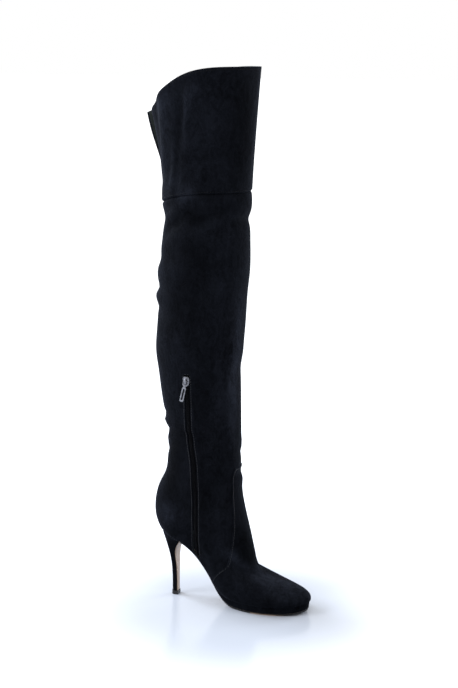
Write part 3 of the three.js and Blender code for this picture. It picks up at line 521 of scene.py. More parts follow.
def add_row(obj, near, distance):
    """Adds a row of points beside the edges whose ends lie near a line, at a distance from it."""
    bm = bmesh.new()
    bm.from_mesh(obj.data)
    close = {v for v in bm.verts if near(v.co)}
    rungs = [e for e in bm.edges if (e.verts[0] in close) != (e.verts[1] in close)]
    rungs = [e for e in rungs if e.calc_length() > 1.5 * distance]
    shares = {e: distance / e.calc_length() for e in rungs}
    shares = {e: share if e.verts[0] in close else 1 - share for e, share in shares.items()}
    bmesh.ops.subdivide_edges(bm, edges=rungs, cuts=1, edge_percents=shares, use_grid_fill=True)
    bm.to_mesh(obj.data)
    bm.free()


WALL_LIMIT = 3.2 * MM  # an edge across a wall is shorter than this
CLEAR_STEP = 0.3 * MM  # a rise from face to face is more than this
RIM_REACH = 3.0 * MM  # the outer outline is told from the inner one by the points this near
RIM_POINTS = 6  # an outline of fewer points isn't a rim


def outer_rims(obj):
    """Ordered outlines of the outer face's edges, from a shell whose corners are creased."""
    bm = bmesh.new()
    bm.from_mesh(obj.data)
    crease = bm.edges.layers.float["crease_edge"]
    points = np.array([v.co for v in bm.verts])
    _, _, reach, outward = leg_places(points)
    bm.verts.ensure_lookup_table()
    links = {}
    for edge in bm.edges:
        a, b = edge.verts
        line = b.co - a.co
        is_across = abs(line.normalized().dot(Vector(outward[a.index]))) > 0.75 and line.length < WALL_LIMIT
        if edge[crease] < 0.5 or is_across:
            continue
        links.setdefault(a.index, []).append(b.index)
        links.setdefault(b.index, []).append(a.index)
    rims, used = [], set()
    for start in links:
        if start in used:
            continue
        loop, here, last = [], start, None
        while here is not None and here not in used:
            used.add(here)
            loop.append(here)
            onward = [n for n in links[here] if n != last and n not in used]
            last, here = here, (onward[0] if onward else None)
        rims.append(loop)
    bm.free()
    inner = KDTree(len(points))
    for i, p in enumerate(points):
        inner.insert(p, i)
    inner.balance()
    kept = []
    for loop in rims:
        if len(loop) < RIM_POINTS:
            continue
        outer = 0
        for i in loop:
            for _, j, away in inner.find_range(Vector(points[i]), RIM_REACH):
                rise = np.dot(points[i] - points[j], outward[i])
                if away > CLEAR_STEP:
                    outer += int(rise > CLEAR_STEP) - int(rise < -CLEAR_STEP)
        if outer > 0:
            kept.append(points[loop])
    return kept


def resample(points, step):
    """The same line in equal steps."""
    p = np.asarray(points)
    total = lengths_along(p)[-1]
    count = max(2, int(round(total / step)))
    return points_at(p, np.linspace(0, total, count + 1))


def smooth_line(points, rounds):
    """An open line with its corners eased; its ends stay."""
    p = np.array(points, float)
    for _ in range(rounds):
        before, after = np.roll(p, 1, 0), np.roll(p, -1, 0)
        blended = (before + 2 * p + after) / 4
        blended[0], blended[-1] = p[0], p[-1]
        p = blended
    return p


def surface_of(meshes):
    """A search tree over the faces of these meshes."""
    points, faces = [], []
    for mesh in meshes:
        start = len(points)
        points += [v.co.copy() for v in mesh.vertices]
        faces += [[start + i for i in polygon.vertices] for polygon in mesh.polygons]
    return BVHTree.FromPolygons(points, faces)


RAY_START = 12 * MM  # a ray comes in from this far outside the leather


def lay_on(tree, points):
    """Each point on the outer face under it, with that face's normal: a ray comes in from outside."""
    _, _, _, outward = leg_places(points)
    places, normals = [], []
    for point, out in zip(points, outward):
        out = Vector(out)
        start = Vector(point) + out * RAY_START
        hit, normal, _, _ = tree.ray_cast(start, -out, 2 * RAY_START)
        if hit is None:
            hit, normal, _, _ = tree.find_nearest(Vector(point))
        places.append(hit)
        normals.append(normal if normal.dot(out) > 0 else -normal)
    return places, normals


def joined_copies(name, template, frames):
    """One mesh of many copies of a small template, each with its own place and turn."""
    source = template.data
    base = np.array([v.co for v in source.vertices])
    faces = [tuple(p.vertices) for p in source.polygons]
    count = len(base)
    points = np.vstack([base @ np.array(m.to_3x3()).T + np.array(m.translation) for m in frames])
    polygons = [tuple(i + k * count for i in face) for k in range(len(frames)) for face in faces]
    mesh = bpy.data.meshes.new(name)
    mesh.from_pydata([tuple(p) for p in points], [], polygons)
    obj = add_object(name, mesh)
    bpy.data.objects.remove(template)
    for polygon in mesh.polygons:
        polygon.use_smooth = True
    return obj


def frame_at(place, forward, normal):
    """Turn and place with x along a line and z out of the surface."""
    x = forward.normalized()
    z = (normal - x * normal.dot(x)).normalized()
    y = z.cross(x)
    turn = Matrix((x, y, z)).transposed().to_4x4()
    turn.translation = place
    return turn


def finish_piece(obj, body, *materials, node=None, slot=None, angle=radians(38)):
    """Gives a piece its materials and its smoothing, hangs it on its body and hides the frame node that it
    replaces.
    """
    for material in materials:
        obj.data.materials.append(material)
    select_only(obj)
    bpy.ops.object.shade_smooth_by_angle(angle=angle)
    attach(obj, body)
    if node:
        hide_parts(node)


# Materials


FINISHES = {}


def scaled(colour, factor):
    return tuple(min(1, c * factor) for c in colour)


class Shader:
    """A material's nodes, with short words for the ones used here."""

    def __init__(self, name, roughness, **sockets):
        self.material = bpy.data.materials.new(name)
        self.material.use_nodes = True
        self.tree = self.material.node_tree
        self.bsdf = next(n for n in self.tree.nodes if n.type == "BSDF_PRINCIPLED")
        self.bsdf.inputs["Roughness"].default_value = roughness
        for socket, value in sockets.items():
            self.bsdf.inputs[socket.replace("_", " ")].default_value = value
        self.place = self.node("ShaderNodeTexCoord").outputs["Object"]

    def node(self, kind, **settings):
        node = self.tree.nodes.new(kind)
        for name, value in settings.items():
            setattr(node, name, value)
        return node

    def link(self, source, target):
        self.tree.links.new(source, target)

    def put(self, socket, value):
        if hasattr(value, "is_linked"):
            self.link(value, socket)
        else:
            socket.default_value = value

    def noise(self, scale, detail, roughness, stretch=(1, 1, 1), distortion=0.0):
        mapping = self.node("ShaderNodeMapping")
        mapping.inputs["Scale"].default_value = stretch
        self.link(self.place, mapping.inputs["Vector"])
        noise = self.node("ShaderNodeTexNoise")
        values = {"Scale": scale, "Detail": detail, "Roughness": roughness, "Distortion": distortion}
        for socket, value in values.items():
            noise.inputs[socket].default_value = value
        self.link(mapping.outputs["Vector"], noise.inputs["Vector"])
        return noise.outputs["Fac"]

    def attribute(self, name):
        return self.node("ShaderNodeAttribute", attribute_name=name).outputs["Fac"]

    def math(self, operation, a, b, clamp=False):
        node = self.node("ShaderNodeMath", operation=operation, use_clamp=clamp)
        self.put(node.inputs[0], a)
        self.put(node.inputs[1], b)
        return node.outputs[0]

    def spread(self, value, low, high, to_low=0.0, to_high=1.0, smooth=False):
        node = self.node("ShaderNodeMapRange", interpolation_type="SMOOTHSTEP" if smooth else "LINEAR")
        self.link(value, node.inputs["Value"])
        for name, number in zip(("From Min", "From Max", "To Min", "To Max"), (low, high, to_low, to_high)):
            node.inputs[name].default_value = number
        return node.outputs["Result"]

    def mix(self, share, a, b):
        node = self.node("ShaderNodeMix", data_type="RGBA")
        self.put(node.inputs["Factor"], share)
        for socket, colour in ((node.inputs[6], a), (node.inputs[7], b)):
            self.put(socket, (*colour, 1) if isinstance(colour, tuple) else colour)
        return node.outputs[2]

    def bump(self, height, distance, strength, under=None):
        node = self.node("ShaderNodeBump")
        node.inputs["Strength"].default_value = strength
        node.inputs["Distance"].default_value = distance
        self.link(height, node.inputs["Height"])
        if under is not None:
            self.link(under, node.inputs["Normal"])
        return node.outputs["Normal"]

    def set(self, socket, source):
        self.link(source, self.bsdf.inputs[socket])


def once(name, build, *values, **settings):
    """The finish of that name, built at its first use. Frame materials have their own names."""
    if name not in FINISHES:
        FINISHES[name] = build(name, *values, **settings)
    return FINISHES[name]


def nap_suede(name):
    skin = bpy.context.scene.boot_skin
    tint = (0.62, 0.72, 1.0, 1)
    shader = Shader(
        name, 0.95, Sheen_Weight=skin.sheen, Sheen_Roughness=0.3, Sheen_Tint=tint, Specular_IOR_Level=0.015
    )
    clouds = shader.noise(26, 4, 0.6, (1, 1, 0.6), 0.4)
    strokes = shader.noise(95, 6, 0.66, (1, 1, 0.6), 1.2)
    mottle = shader.noise(420, 4, 0.6)
    nap_and_painted_light = shader.noise(2600, 3, 0.7, (1, 1, 0.7))
    light = shader.math("MULTIPLY", shader.spread(clouds, 0.34, 0.68), 0.13)
    light = shader.math("ADD", light, shader.math("MULTIPLY", shader.spread(strokes, 0.36, 0.72), 0.2))
    light = shader.math("ADD", light, shader.math("MULTIPLY", shader.spread(mottle, 0.4, 0.7), 0.1))
    # painted highlights and painted shade: the painted-light value scales the suede's light share
    painted_light_gain = shader.spread(shader.attribute("nap_and_painted_light"), -0.8, 2.0, 0.3, 4.0)
    light = shader.math("MULTIPLY", shader.math("ADD", light, 0.04), painted_light_gain)
    light = shader.math("ADD", light, shader.math("MULTIPLY", shader.attribute("worn"), 0.1))
    light = shader.math("MULTIPLY", light, shader.spread(nap_and_painted_light, 0.3, 0.7, 0.72, 1.28), clamp=True)
    shader.set("Base Color", shader.mix(light, tuple(skin.suede_deep), tuple(skin.suede_lit)))
    shader.set("Roughness", shader.spread(strokes, 0.3, 0.7, 0.99, 0.88))
    low = shader.bump(strokes, 0.9 * MM, 0.7)
    middle = shader.bump(mottle, 0.22 * MM, 0.6, under=low)
    shader.set("Normal", shader.bump(nap_and_painted_light, 0.16 * MM, 0.85, under=middle))
    return shader.material


def smooth_leather(name, colour, roughness, shade, grain=0.08, specular=0.4, coat=0.0):
    shader = Shader(name, roughness, Specular_IOR_Level=specular, Coat_Weight=coat, Coat_Roughness=0.3)
    clouds = shader.noise(60, 4, 0.6)
    pores = shader.noise(1500, 3, 0.6)
    dark = scaled(colour, shade)
    shader.set("Base Color", shader.mix(shader.spread(clouds, 0.35, 0.7), tuple(colour), dark))
    shader.set("Roughness", shader.spread(clouds, 0.3, 0.7, roughness * 0.85, min(1, roughness * 1.2)))
    shader.set("Normal", shader.bump(pores, grain * MM, 0.6))
    return shader.material


RIB_SCALE = 199.0446  # the wave's scale that puts the ribs of the woven tape 1.6 mm apart


def zip_weave(name):
    trim = bpy.context.scene.boot_trim
    shader = Shader(name, 0.9, Specular_IOR_Level=0.04, Sheen_Weight=0.02)
    rib = shader.node("ShaderNodeTexWave", wave_type="BANDS", bands_direction="Z")
    rib.inputs["Scale"].default_value = RIB_SCALE
    rib.inputs["Distortion"].default_value = 0.6
    shader.link(shader.place, rib.inputs["Vector"])
    fibre = shader.noise(2200, 2, 0.6)
    pale = scaled(trim.tape, 2.2)
    threads = shader.math("MULTIPLY", rib.outputs["Fac"], fibre)
    shader.set("Base Color", shader.mix(threads, tuple(trim.tape), pale))
    shader.set("Normal", shader.bump(rib.outputs["Fac"], 0.15 * MM, 0.8))
    return shader.material


def zip_nickel(name):
    trim = bpy.context.scene.boot_trim
    shader = Shader(name, 0.3, Metallic=1.0)
    smudge = shader.noise(260, 4, 0.65)
    scratch = shader.noise(900, 2, 0.5, (6, 6, 0.5))
    bright = scaled(trim.metal, 2.2)
    shader.set("Base Color", shader.mix(shader.spread(smudge, 0.35, 0.7), tuple(trim.metal), bright))
    shader.set("Roughness", shader.spread(smudge, 0.3, 0.7, 0.38, 0.2))
    shader.set("Normal", shader.bump(scratch, 0.03 * MM, 0.5))
    return shader.material


def fine_grain(name, colour, roughness, specular=0.3, scale=900, depth=0.05):
    shader = Shader(name, roughness, Specular_IOR_Level=specular)
    grain = shader.noise(scale, 3, 0.6)
    pale = scaled(colour, 1.5)
    shader.set("Base Color", shader.mix(shader.spread(grain, 0.4, 0.7), tuple(colour), pale))
    shader.set("Roughness", shader.spread(grain, 0.3, 0.7, roughness * 0.9, min(1, roughness * 1.1)))
    shader.set("Normal", shader.bump(grain, depth * MM, 0.6))
    return shader.material


# Skin pieces


SEAM_REACH = 1.6  # a point this near the band's lower edge counts as on it, in millimetres
WORN_WIDTH = 1.3 * MM  # how far the worn nap reaches from an edge
RIDGE_LIGHT = 0.12  # how much lighter the nap is, as painted light, for each millimetre that a crease rises, and darker, as painted shade, for each millimetre that a crease or seam groove sinks
FACES_IN = -0.25  # a face whose normal points outwards by less than this is lining


def by_band_seam(point):
    _, turn, _, _ = leg_places([point])
    return abs(point.z / MM - band_seam_height(turn)[0]) < SEAM_REACH


def dress_skin(node, name, seam_rows=()):
    """Copy of a leather shell, subdivided, creased, with painted highlights and painted shade on its nap.
    """
    skin = bpy.context.scene.boot_skin
    obj = piece_from(node, name)
    for distance in seam_rows:
        add_row(obj, by_band_seam, distance * MM)
    apply_modifier(obj, "SUBSURF", levels=skin.levels, render_levels=skin.levels, use_limit_surface=False)
    rim = rim_distance(obj)
    points = coordinates(obj)
    run, turn, reach, _ = leg_places(points)
    depth, outward = crease_depth(points)
    set_coordinates(obj, points + outward * depth[:, None])
    # painted highlights and painted shade from the stroke table, with painted light on crease ridges and
    # painted shade in troughs and seam grooves
    nap_and_painted_light = fold_field(PAINTED_STROKES, run, turn, reach, lambda row: row.lift) + depth / MM * RIDGE_LIGHT
    set_attribute(obj, "nap_and_painted_light", nap_and_painted_light)
    set_attribute(obj, "worn", np.exp(-((rim / WORN_WIDTH) ** 2)))
    round_corners(obj, skin.edge_round, 2, radians(55))
    return obj


def rim_distance(obj):
    """Distance of each point from the nearest sharp edge."""
    bm = bmesh.new()
    bm.from_mesh(obj.data)
    crease = bm.edges.layers.float.get("crease_edge")
    ends = {v.index: v.co.copy() for e in bm.edges if crease and e[crease] > 0.5 for v in e.verts}
    tree = KDTree(max(1, len(ends)))
    for i, co in ends.items():
        tree.insert(co, i)
    tree.balance()
    away = np.array([tree.find(v.co)[2] if ends else 1.0 for v in bm.verts])
    bm.free()
    return away


def line_inside(obj):
    """Second material on the faces that look in towards the leg."""
    mesh = obj.data
    centres = np.array([p.center for p in mesh.polygons])
    normals = np.array([p.normal for p in mesh.polygons])
    _, _, _, outward = leg_places(centres)
    inward = (normals * outward).sum(1) < FACES_IN
    mesh.polygons.foreach_set("material_index", inward.astype(np.int32))


class BOOT_OT_upper(bpy.types.Operator):
    """Quarters and shaft: the hollow upper with its creases, its nap and its lining"""

    bl_idname = "boot.upper"
    bl_label = "Upper"

    def execute(self, context):
        skin = context.scene.boot_skin
        obj = dress_skin("upper", "suede_upper", seam_rows=(4,))
        lining = once("shaft_lining", smooth_leather, tuple(skin.lining), 0.62, 0.7, 0.06, 0.25)
        finish_piece(obj, "boot", once("black_suede", nap_suede), lining, node="upper", slot="suede")
        line_inside(obj)
        return {"FINISHED"}


class BOOT_OT_vamp(bpy.types.Operator):
    """Vamp with its tongue on the shin"""

    bl_idname = "boot.vamp"
    bl_label = "Vamp"

    def execute(self, context):
        obj = dress_skin("vamp", "suede_vamp")
        finish_piece(obj, "boot", once("black_suede", nap_suede), node="vamp", slot="suede")
        return {"FINISHED"}


class BOOT_OT_thigh_band(bpy.types.Operator):
    """Band round the thigh, slit at the back, a little fuller at its lower edge"""

    bl_idname = "boot.thigh_band"
    bl_label = "Thigh band"

    def execute(self, context):
        obj = dress_skin("thigh_band", "suede_thigh_band", seam_rows=(4, 2))
        finish_piece(obj, "boot", once("black_suede", nap_suede), node="thigh_band", slot="suede")
        return {"FINISHED"}


# Sole and heel


def add_suede_values(obj, lift):
    """An even painted-light level and no worn edge, for a small piece in the same suede."""
    count = len(obj.data.vertices)
    set_attribute(obj, "nap_and_painted_light", np.full(count, lift))
    set_attribute(obj, "worn", np.zeros(count))


class BOOT_OT_sole(bpy.types.Operator):
    """Covered platform, leather outsole and the sock on the insole"""

    bl_idname = "boot.sole"
    bl_label = "Sole"

    def execute(self, context):
        trim = context.scene.boot_trim
        leather = once("outsole_leather", smooth_leather, tuple(trim.sole_leather), 0.5, 0.82)
        ink = once("outsole_edge_ink", fine_grain, tuple(trim.edge_ink), 0.45, 0.3, 1400)
        sock = once("sock_leather", smooth_leather, tuple(trim.sock), 0.6, 0.85)
        pieces = (
            ("platform", "covered_platform", (once("black_suede", nap_suede),), "suede", 0.6),
            ("outsole", "leather_outsole", (leather, ink), "sole_leather", 0.25),
            ("insole", "leather_sock", (sock,), "lining", 0.5),
        )
        for node, name, materials, slot, rounding in pieces:
            obj = piece_from(node, name)
            apply_modifier(obj, "SUBSURF", levels=2, render_levels=2)
            # an even painted-light level, a little darker than the plain nap
            add_suede_values(obj, -0.05)
            round_corners(obj, rounding * MM, 3, radians(50))
            finish_piece(obj, "boot", *materials, node=node, slot=slot)
            if node == "outsole":
                self.ink_edge(obj, trim)
        return {"FINISHED"}

    def ink_edge(self, obj, trim):
        """Ink on the outsole's edge, down to a bare line where the forefoot stands on the floor."""
        mesh = obj.data
        centres = np.array([p.center for p in mesh.polygons])
        normals = np.array([p.normal for p in mesh.polygons])
        is_edge = (np.abs(normals[:, 1]) > 0.4) | (normals[:, 0] > 0.4)
        is_bare = (centres[:, 2] < trim.bare_edge) & (centres[:, 0] > trim.bare_from)
        mesh.polygons.foreach_set("material_index", (is_edge & ~is_bare).astype(np.int32))


class BOOT_OT_heel(bpy.types.Operator):
    """Slim covered heel, the leather strip on its breast and the top piece it stands on"""

    bl_idname = "boot.heel"
    bl_label = "Heel"

    def execute(self, context):
        trim = context.scene.boot_trim
        breast = once("breast_leather", smooth_leather, tuple(trim.sole_leather), 0.42, 0.9, coat=0.15)
        rubber = once("heel_rubber", fine_grain, tuple(trim.top_piece), 0.55)
        pieces = (
            ("heel", "covered_heel", once("black_suede", nap_suede), "suede", 0.4),
            ("heel_breast", "heel_breast_strip", breast, "sole_leather", 0.3),
            ("heel_lift", "heel_top_piece", rubber, "top_piece", 0.35),
        )
        for node, name, material, slot, rounding in pieces:
            obj = piece_from(node, name, corner=radians(48))
            apply_modifier(obj, "SUBSURF", levels=2, render_levels=2)
            # an even painted-light level, a little lighter than the plain nap
            add_suede_values(obj, 0.05)
            round_corners(obj, rounding * MM, 2, radians(50))
            finish_piece(obj, "boot", material, node=node, slot=slot)
        return {"FINISHED"}


# Zip


ROW_GAP = 1.6 * MM  # rows of points on the chain lie further apart than this


def centre_line(obj):
    """Middle of a long upright strip at each of its rows, from the bottom up."""
    points = coordinates(obj)
    points = points[np.argsort(points[:, 2])]
    rows, row = [], [points[0]]
    for p in points[1:]:
        if p[2] - row[-1][2] > ROW_GAP:
            rows.append(np.mean(row, axis=0))
            row = []
        row.append(p)
    rows.append(np.mean(row, axis=0))
    return np.array(rows)


class BOOT_OT_zip(bpy.types.Operator):
    """Woven tape, closed coil, slider and its swinging pull"""

    bl_idname = "boot.zip"
    bl_label = "Zip"

    def execute(self, context):
        trim = context.scene.boot_trim
        tape = piece_from("zip_tape", "zip_tape_woven")
        apply_modifier(tape, "SUBSURF", levels=2, render_levels=2)
        set_coordinates(tape, drape(coordinates(tape)))
        finish_piece(tape, "boot", once("zip_weave", zip_weave), node="zip_tape", slot="zip_textile")
        self.make_coil(trim)
        self.make_metal(trim)
        return {"FINISHED"}

    def make_coil(self, trim):
        chain = piece_from("zip_chain", "zip_chain_copy")
        line = smooth_line(resample(smooth_line(centre_line(chain), 1), trim.tooth_pitch / 2), 20)
        bpy.data.objects.remove(chain)
        line = drape(line)
        _, _, _, outward = leg_places(line)
        bpy.ops.object.select_all(action="DESELECT")
        bpy.ops.mesh.primitive_uv_sphere_add(segments=8, ring_count=6, radius=0.5)
        tooth = bpy.context.object
        bpy.ops.object.mode_set(mode="EDIT")
        bpy.ops.mesh.select_all(action="SELECT")
        bpy.ops.transform.resize(value=(trim.tooth_pitch * 0.78, trim.tooth_width * 0.56, 1.5 * MM))
        bpy.ops.object.mode_set(mode="OBJECT")
        frames = []
        for i in range(1, len(line) - 1):
            forward = Vector(line[i + 1] - line[i - 1]).normalized()
            out = Vector(outward[i])
            side = out.cross(forward).normalized() * (1 if i % 2 else -1)
            place = Vector(line[i]) + side * trim.tooth_width * 0.21 + out * 0.1 * MM
            frames.append(frame_at(place, forward, out))
        coil = joined_copies("zip_coil", tooth, frames)
        nylon = once("coil_nylon", fine_grain, scaled(trim.tape, 0.6), 0.6, 0.03)
        finish_piece(coil, "boot", nylon, node="zip_chain", slot="zip_coil")

    def make_metal(self, trim):
        metal = once("zip_nickel", zip_nickel)
        pieces = (("zip_slider", "zip_slider_cast", "boot"), ("zip_pull", "zip_pull_tab", "pull"))
        for node, name, body in pieces:
            obj = piece_from(node, name, quads=False)
            round_corners(obj, trim.metal_round, 2, radians(35))
            finish_piece(obj, body, metal, node=node, slot="zip_metal", angle=radians(30))


# Seams


LINE_STEP = 2 * MM  # a seam's line is cut into these steps before it is smoothed
SOLE_REACH = 3.2 * MM  # the vamp's edge lies on the sole where it is this near
SLOT_TOP = 0.4  # the zip's slot is the one rim below this height, in metres
LEG_REACH = 120 * MM  # further from the middle line than any wall of the leg
PROBE_UP = 6 * MM  # a ray that looks for the piece beside its edge starts this high over it
PROBE_ASIDE = 4 * MM  # and this far beside the edge


def stitch_template(seams):
    """One stitch: a short thread that dives into the leather at both ends."""
    bpy.ops.object.select_all(action="DESELECT")
    bpy.ops.mesh.primitive_cylinder_add(vertices=6, radius=seams.thickness / 2, depth=seams.length)
    stitch = bpy.context.object
    bpy.ops.object.mode_set(mode="EDIT")
    bpy.ops.mesh.select_all(action="SELECT")
    bpy.ops.transform.rotate(value=pi / 2, orient_axis="Y", center_override=(0, 0, 0))
    bm = bmesh.from_edit_mesh(stitch.data)
    long_edges = [e for e in bm.edges if abs(e.verts[0].co.x - e.verts[1].co.x) > seams.length / 2]
    bmesh.ops.subdivide_edges(bm, edges=long_edges, cuts=3, use_grid_fill=True)
    half = seams.length / 2
    for v in bm.verts:
        share = abs(v.co.x) / half
        v.co.z += seams.thickness * (0.25 - 0.75 * share**3)
        v.co.y *= 1 - 0.25 * share**2
    bmesh.update_edit_mesh(stitch.data)
    bpy.ops.object.mode_set(mode="OBJECT")
    return stitch


def stitch_row(name, line, tree, material, aside):
    """Stitches beside a line that already lies near the surface. aside is the distance to its left."""
    seams = bpy.context.scene.boot_seams
    pitch = seams.length + seams.gap
    line = resample(line, pitch)
    _, _, _, outward = leg_places(line)
    side = np.cross(outward, np.gradient(line, axis=0))
    line = line + side / np.linalg.norm(side, axis=1)[:, None] * aside
    places, normals = lay_on(tree, line)
    frames = []
    for a, b, na, nb in zip(places, places[1:], normals, normals[1:]):
        if pitch * 0.3 <= (b - a).length <= pitch * 1.9:
            frames.append(frame_at((a + b) / 2, b - a, na + nb))
    obj = joined_copies(name, stitch_template(seams), frames)
    finish_piece(obj, "boot", material, slot="suede")


def thread_material(dark=False):
    seams = bpy.context.scene.boot_seams
    if dark:
        return once("seam_thread_dark", fine_grain, tuple(seams.dark_thread), 0.8, 0.1, 3000, 0.03)
    return once("seam_thread", fine_grain, tuple(seams.thread), 0.6, 0.35, 3000, 0.03)


def rims_of(node):
    """Outlines of a node's outer face, measured on a copy that is then removed."""
    copy = piece_from(node, node + "_rims")
    rims = outer_rims(copy)
    bpy.data.objects.remove(copy)
    return rims


def near_nodes(points, nodes, distance):
    """Which points lie close to one of the frame's nodes."""
    tree = surface_of([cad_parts[node].data for node in nodes])
    return np.array([tree.find_nearest(Vector(p), distance)[0] is not None for p in points])


def back_line(tree, low, high, step=3.0):
    """Points down the back of the leg, on its outer face."""
    points = []
    for run in np.arange(low, high, step):
        i = int(np.argmin(np.abs(RUN - run)))
        middle = np.array([MIDDLE[i, 0], 0.0, MIDDLE[i, 1]])
        back = Vector((ALONG[i, 1], 0, -ALONG[i, 0]))
        hit = tree.ray_cast(Vector(middle * MM) + back * LEG_REACH, -back, LEG_REACH)[0]
        if hit is not None:
            points.append(np.array(hit))
    return smooth_line(resample(np.array(points), LINE_STEP), 4)


class BOOT_OT_seams(bpy.types.Operator):
    """Stitches along the vamp, the zip, both edges of the band, its slit and the back seam"""

    bl_idname = "boot.seams"
    bl_label = "Seams"

    def execute(self, context):
        seams = context.scene.boot_seams
        names = ("suede_upper", "suede_vamp", "suede_thigh_band")
        upper, vamp, band = (surface_of([bpy.data.objects[name].data]) for name in names)
        outline = max(rims_of("vamp"), key=len)
        on_sole = near_nodes(outline, ("platform", "outsole"), SOLE_REACH)
        first = next(i for i in range(len(outline)) if on_sole[i - 1] and not on_sole[i])
        outline, on_sole = np.roll(outline, -first, axis=0), np.roll(on_sole, -first)
        self.row("stitches_vamp", outline[~on_sole], vamp, seams.inset)

        slot = next(r for r in rims_of("upper") if r[:, 1].max() < 0 and r[:, 2].max() < SLOT_TOP)
        slot = np.roll(slot, -int(np.argmin(slot[:, 2])), axis=0)
        self.row("stitches_zip", slot, upper, seams.zip_inset)

        rims = rims_of("thigh_band")
        rows = (("stitches_band", min, seams.inset), ("stitches_collar", max, seams.collar_inset))
        for name, pick, inset in rows:
            rim = pick(rims, key=lambda r: r[:, 2].mean())
            self.row(name, np.vstack([rim, rim[:1]]), band, inset, dark=True)
        self.back_seam(upper)
        return {"FINISHED"}

    def row(self, name, line, tree, distance, dark=False):
        """One row of stitches beside an edge, on the piece that the edge belongs to."""
        line = resample(line, LINE_STEP)
        aside = self.inward(line, tree, distance)
        stitch_row(name, drape(smooth_line(line, 3)), tree, thread_material(dark), aside)

    def back_seam(self, upper):
        """Two rows, one on each side of the groove down the back."""
        seams = bpy.context.scene.boot_seams
        low, high = BACK_SEAM_RUN
        line = back_line(upper, low, high)
        rows = (("stitches_back_left", seams.back_inset), ("stitches_back_right", -seams.back_inset))
        for name, aside in rows:
            stitch_row(name, line, upper, thread_material(dark=True), aside)

    def inward(self, line, tree, distance):
        """The inset with the sign that leads from an edge onto the piece."""
        line = resample(line, 6 * MM)
        _, _, _, outward = leg_places(line)
        side = np.cross(outward, np.gradient(line, axis=0))
        score = 0
        for point, out, across in zip(line, outward, side):
            for sign in (1, -1):
                start = Vector(point + out * PROBE_UP) + Vector(across).normalized() * sign * PROBE_ASIDE
                score += sign if tree.ray_cast(start, -Vector(out), 2 * PROBE_UP)[0] is not None else 0
        return distance if score > 0 else -distance


# Stage


LIT_POINT = Vector((0.04, 0, 0.35))  # middle of the boot, where the lamps point


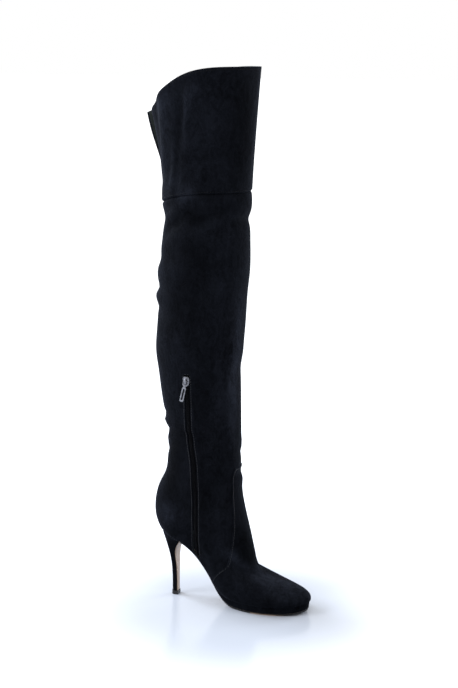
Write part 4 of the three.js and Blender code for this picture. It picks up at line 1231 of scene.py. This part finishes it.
class BOOT_OT_stage(bpy.types.Operator):
    """White floor, soft light and the camera"""

    bl_idname = "boot.stage"
    bl_label = "Stage"

    def execute(self, context):
        stage = context.scene.boot_stage
        scene = context.scene
        scene.view_settings.view_transform = "Standard"
        world = bpy.data.worlds.new("white_room")
        world.use_nodes = True
        background = world.node_tree.nodes["Background"]
        background.inputs["Color"].default_value = (1.0, 1.0, 1.0, 1)
        background.inputs["Strength"].default_value = stage.room
        scene.world = world
        self.make_floor(stage)
        for lamp in LAMPS:
            self.make_light(lamp)
        self.make_camera(stage)
        return {"FINISHED"}

    def make_floor(self, stage):
        bpy.ops.object.select_all(action="DESELECT")
        bpy.ops.mesh.primitive_plane_add(size=60)
        floor = bpy.context.object
        floor.name = "studio_floor"
        shader = Shader("studio_floor", 0.17, Specular_IOR_Level=0.5, Emission_Color=(1, 1, 1, 1))
        sheet = shader.noise(3, 2, 0.5)
        pale = scaled(stage.floor, 1.02)
        shader.set("Base Color", shader.mix(sheet, tuple(stage.floor), pale))
        shader.set("Roughness", shader.spread(sheet, 0.3, 0.7, 0.16, 0.19))
        # painted light: the floor glows more the further it lies from the boot, from 0.1 m to 0.33 m, so
        # its bluish grey, darker than the glowing floor, shows only round the boot as painted shade
        centred = shader.node("ShaderNodeMapping", vector_type="TEXTURE")
        centred.inputs["Location"].default_value = (0.09, -0.03, 0)
        shader.link(shader.place, centred.inputs["Vector"])
        away = shader.node("ShaderNodeVectorMath", operation="LENGTH")
        shader.link(centred.outputs["Vector"], away.inputs[0])
        glow = shader.spread(away.outputs["Value"], 0.1, 0.33, 0.0, stage.glow, smooth=True)
        shader.set("Emission Strength", glow)
        floor.data.materials.append(shader.material)

    def make_light(self, lamp):
        light = bpy.data.lights.new(lamp.name, "AREA")
        light.shape, light.size, light.energy, light.color = "SQUARE", lamp.size, lamp.power, lamp.colour
        obj = add_object(lamp.name, light)
        obj.location = lamp.place
        obj.rotation_mode = "QUATERNION"
        obj.rotation_quaternion = (LIT_POINT - Vector(lamp.place)).to_track_quat("-Z", "Y")

    def make_camera(self, stage):
        camera = bpy.data.cameras.new("camera")
        camera.lens, camera.sensor_width = stage.lens, 36
        obj = add_object("camera", camera)
        a, p = stage.heading, stage.pitch
        back = Vector((sin(a) * cos(p), -cos(a) * cos(p), sin(p)))
        obj.location = stage.place
        obj.rotation_mode = "QUATERNION"
        turn = Quaternion((0, 1, 0), -stage.aim)
        obj.rotation_quaternion = (-back).to_track_quat("-Z", "Y") @ turn
        bpy.context.scene.camera = obj


class BOOT_PT_panel(bpy.types.Panel):
    """Pieces of the boot and their sizes"""

    bl_idname = "BOOT_PT_panel"
    bl_label = "Over-the-knee boot"
    bl_space_type = "VIEW_3D"
    bl_region_type = "UI"
    bl_category = "Boot"

    def draw(self, context):
        for group in ("boot_skin", "boot_seams", "boot_trim", "boot_stage"):
            box = self.layout.box()
            settings = getattr(context.scene, group)
            for name in settings.bl_rna.properties.keys():
                if name not in ("rna_type", "name"):
                    box.prop(settings, name)
        for operator in OPERATORS:
            self.layout.operator(operator.bl_idname)


GROUPS = {"boot_skin": BootSkin, "boot_seams": BootSeams, "boot_trim": BootTrim, "boot_stage": BootStage}
OPERATORS = (
    BOOT_OT_stage,
    BOOT_OT_upper,
    BOOT_OT_vamp,
    BOOT_OT_thigh_band,
    BOOT_OT_sole,
    BOOT_OT_heel,
    BOOT_OT_zip,
    BOOT_OT_seams,
)
CLASSES = (*GROUPS.values(), *OPERATORS, BOOT_PT_panel)


def register():
    for cls in CLASSES:
        bpy.utils.register_class(cls)
    for name, group in GROUPS.items():
        setattr(bpy.types.Scene, name, bpy.props.PointerProperty(type=group))


def unregister():
    for name in GROUPS:
        delattr(bpy.types.Scene, name)
    for cls in reversed(CLASSES):
        bpy.utils.unregister_class(cls)


def main():
    register()
    bpy.ops.boot.stage()
    bpy.ops.boot.upper()
    bpy.ops.boot.vamp()
    bpy.ops.boot.thigh_band()
    bpy.ops.boot.sole()
    bpy.ops.boot.heel()
    bpy.ops.boot.zip()
    bpy.ops.boot.seams()


if __name__ == "__main__":
    main()
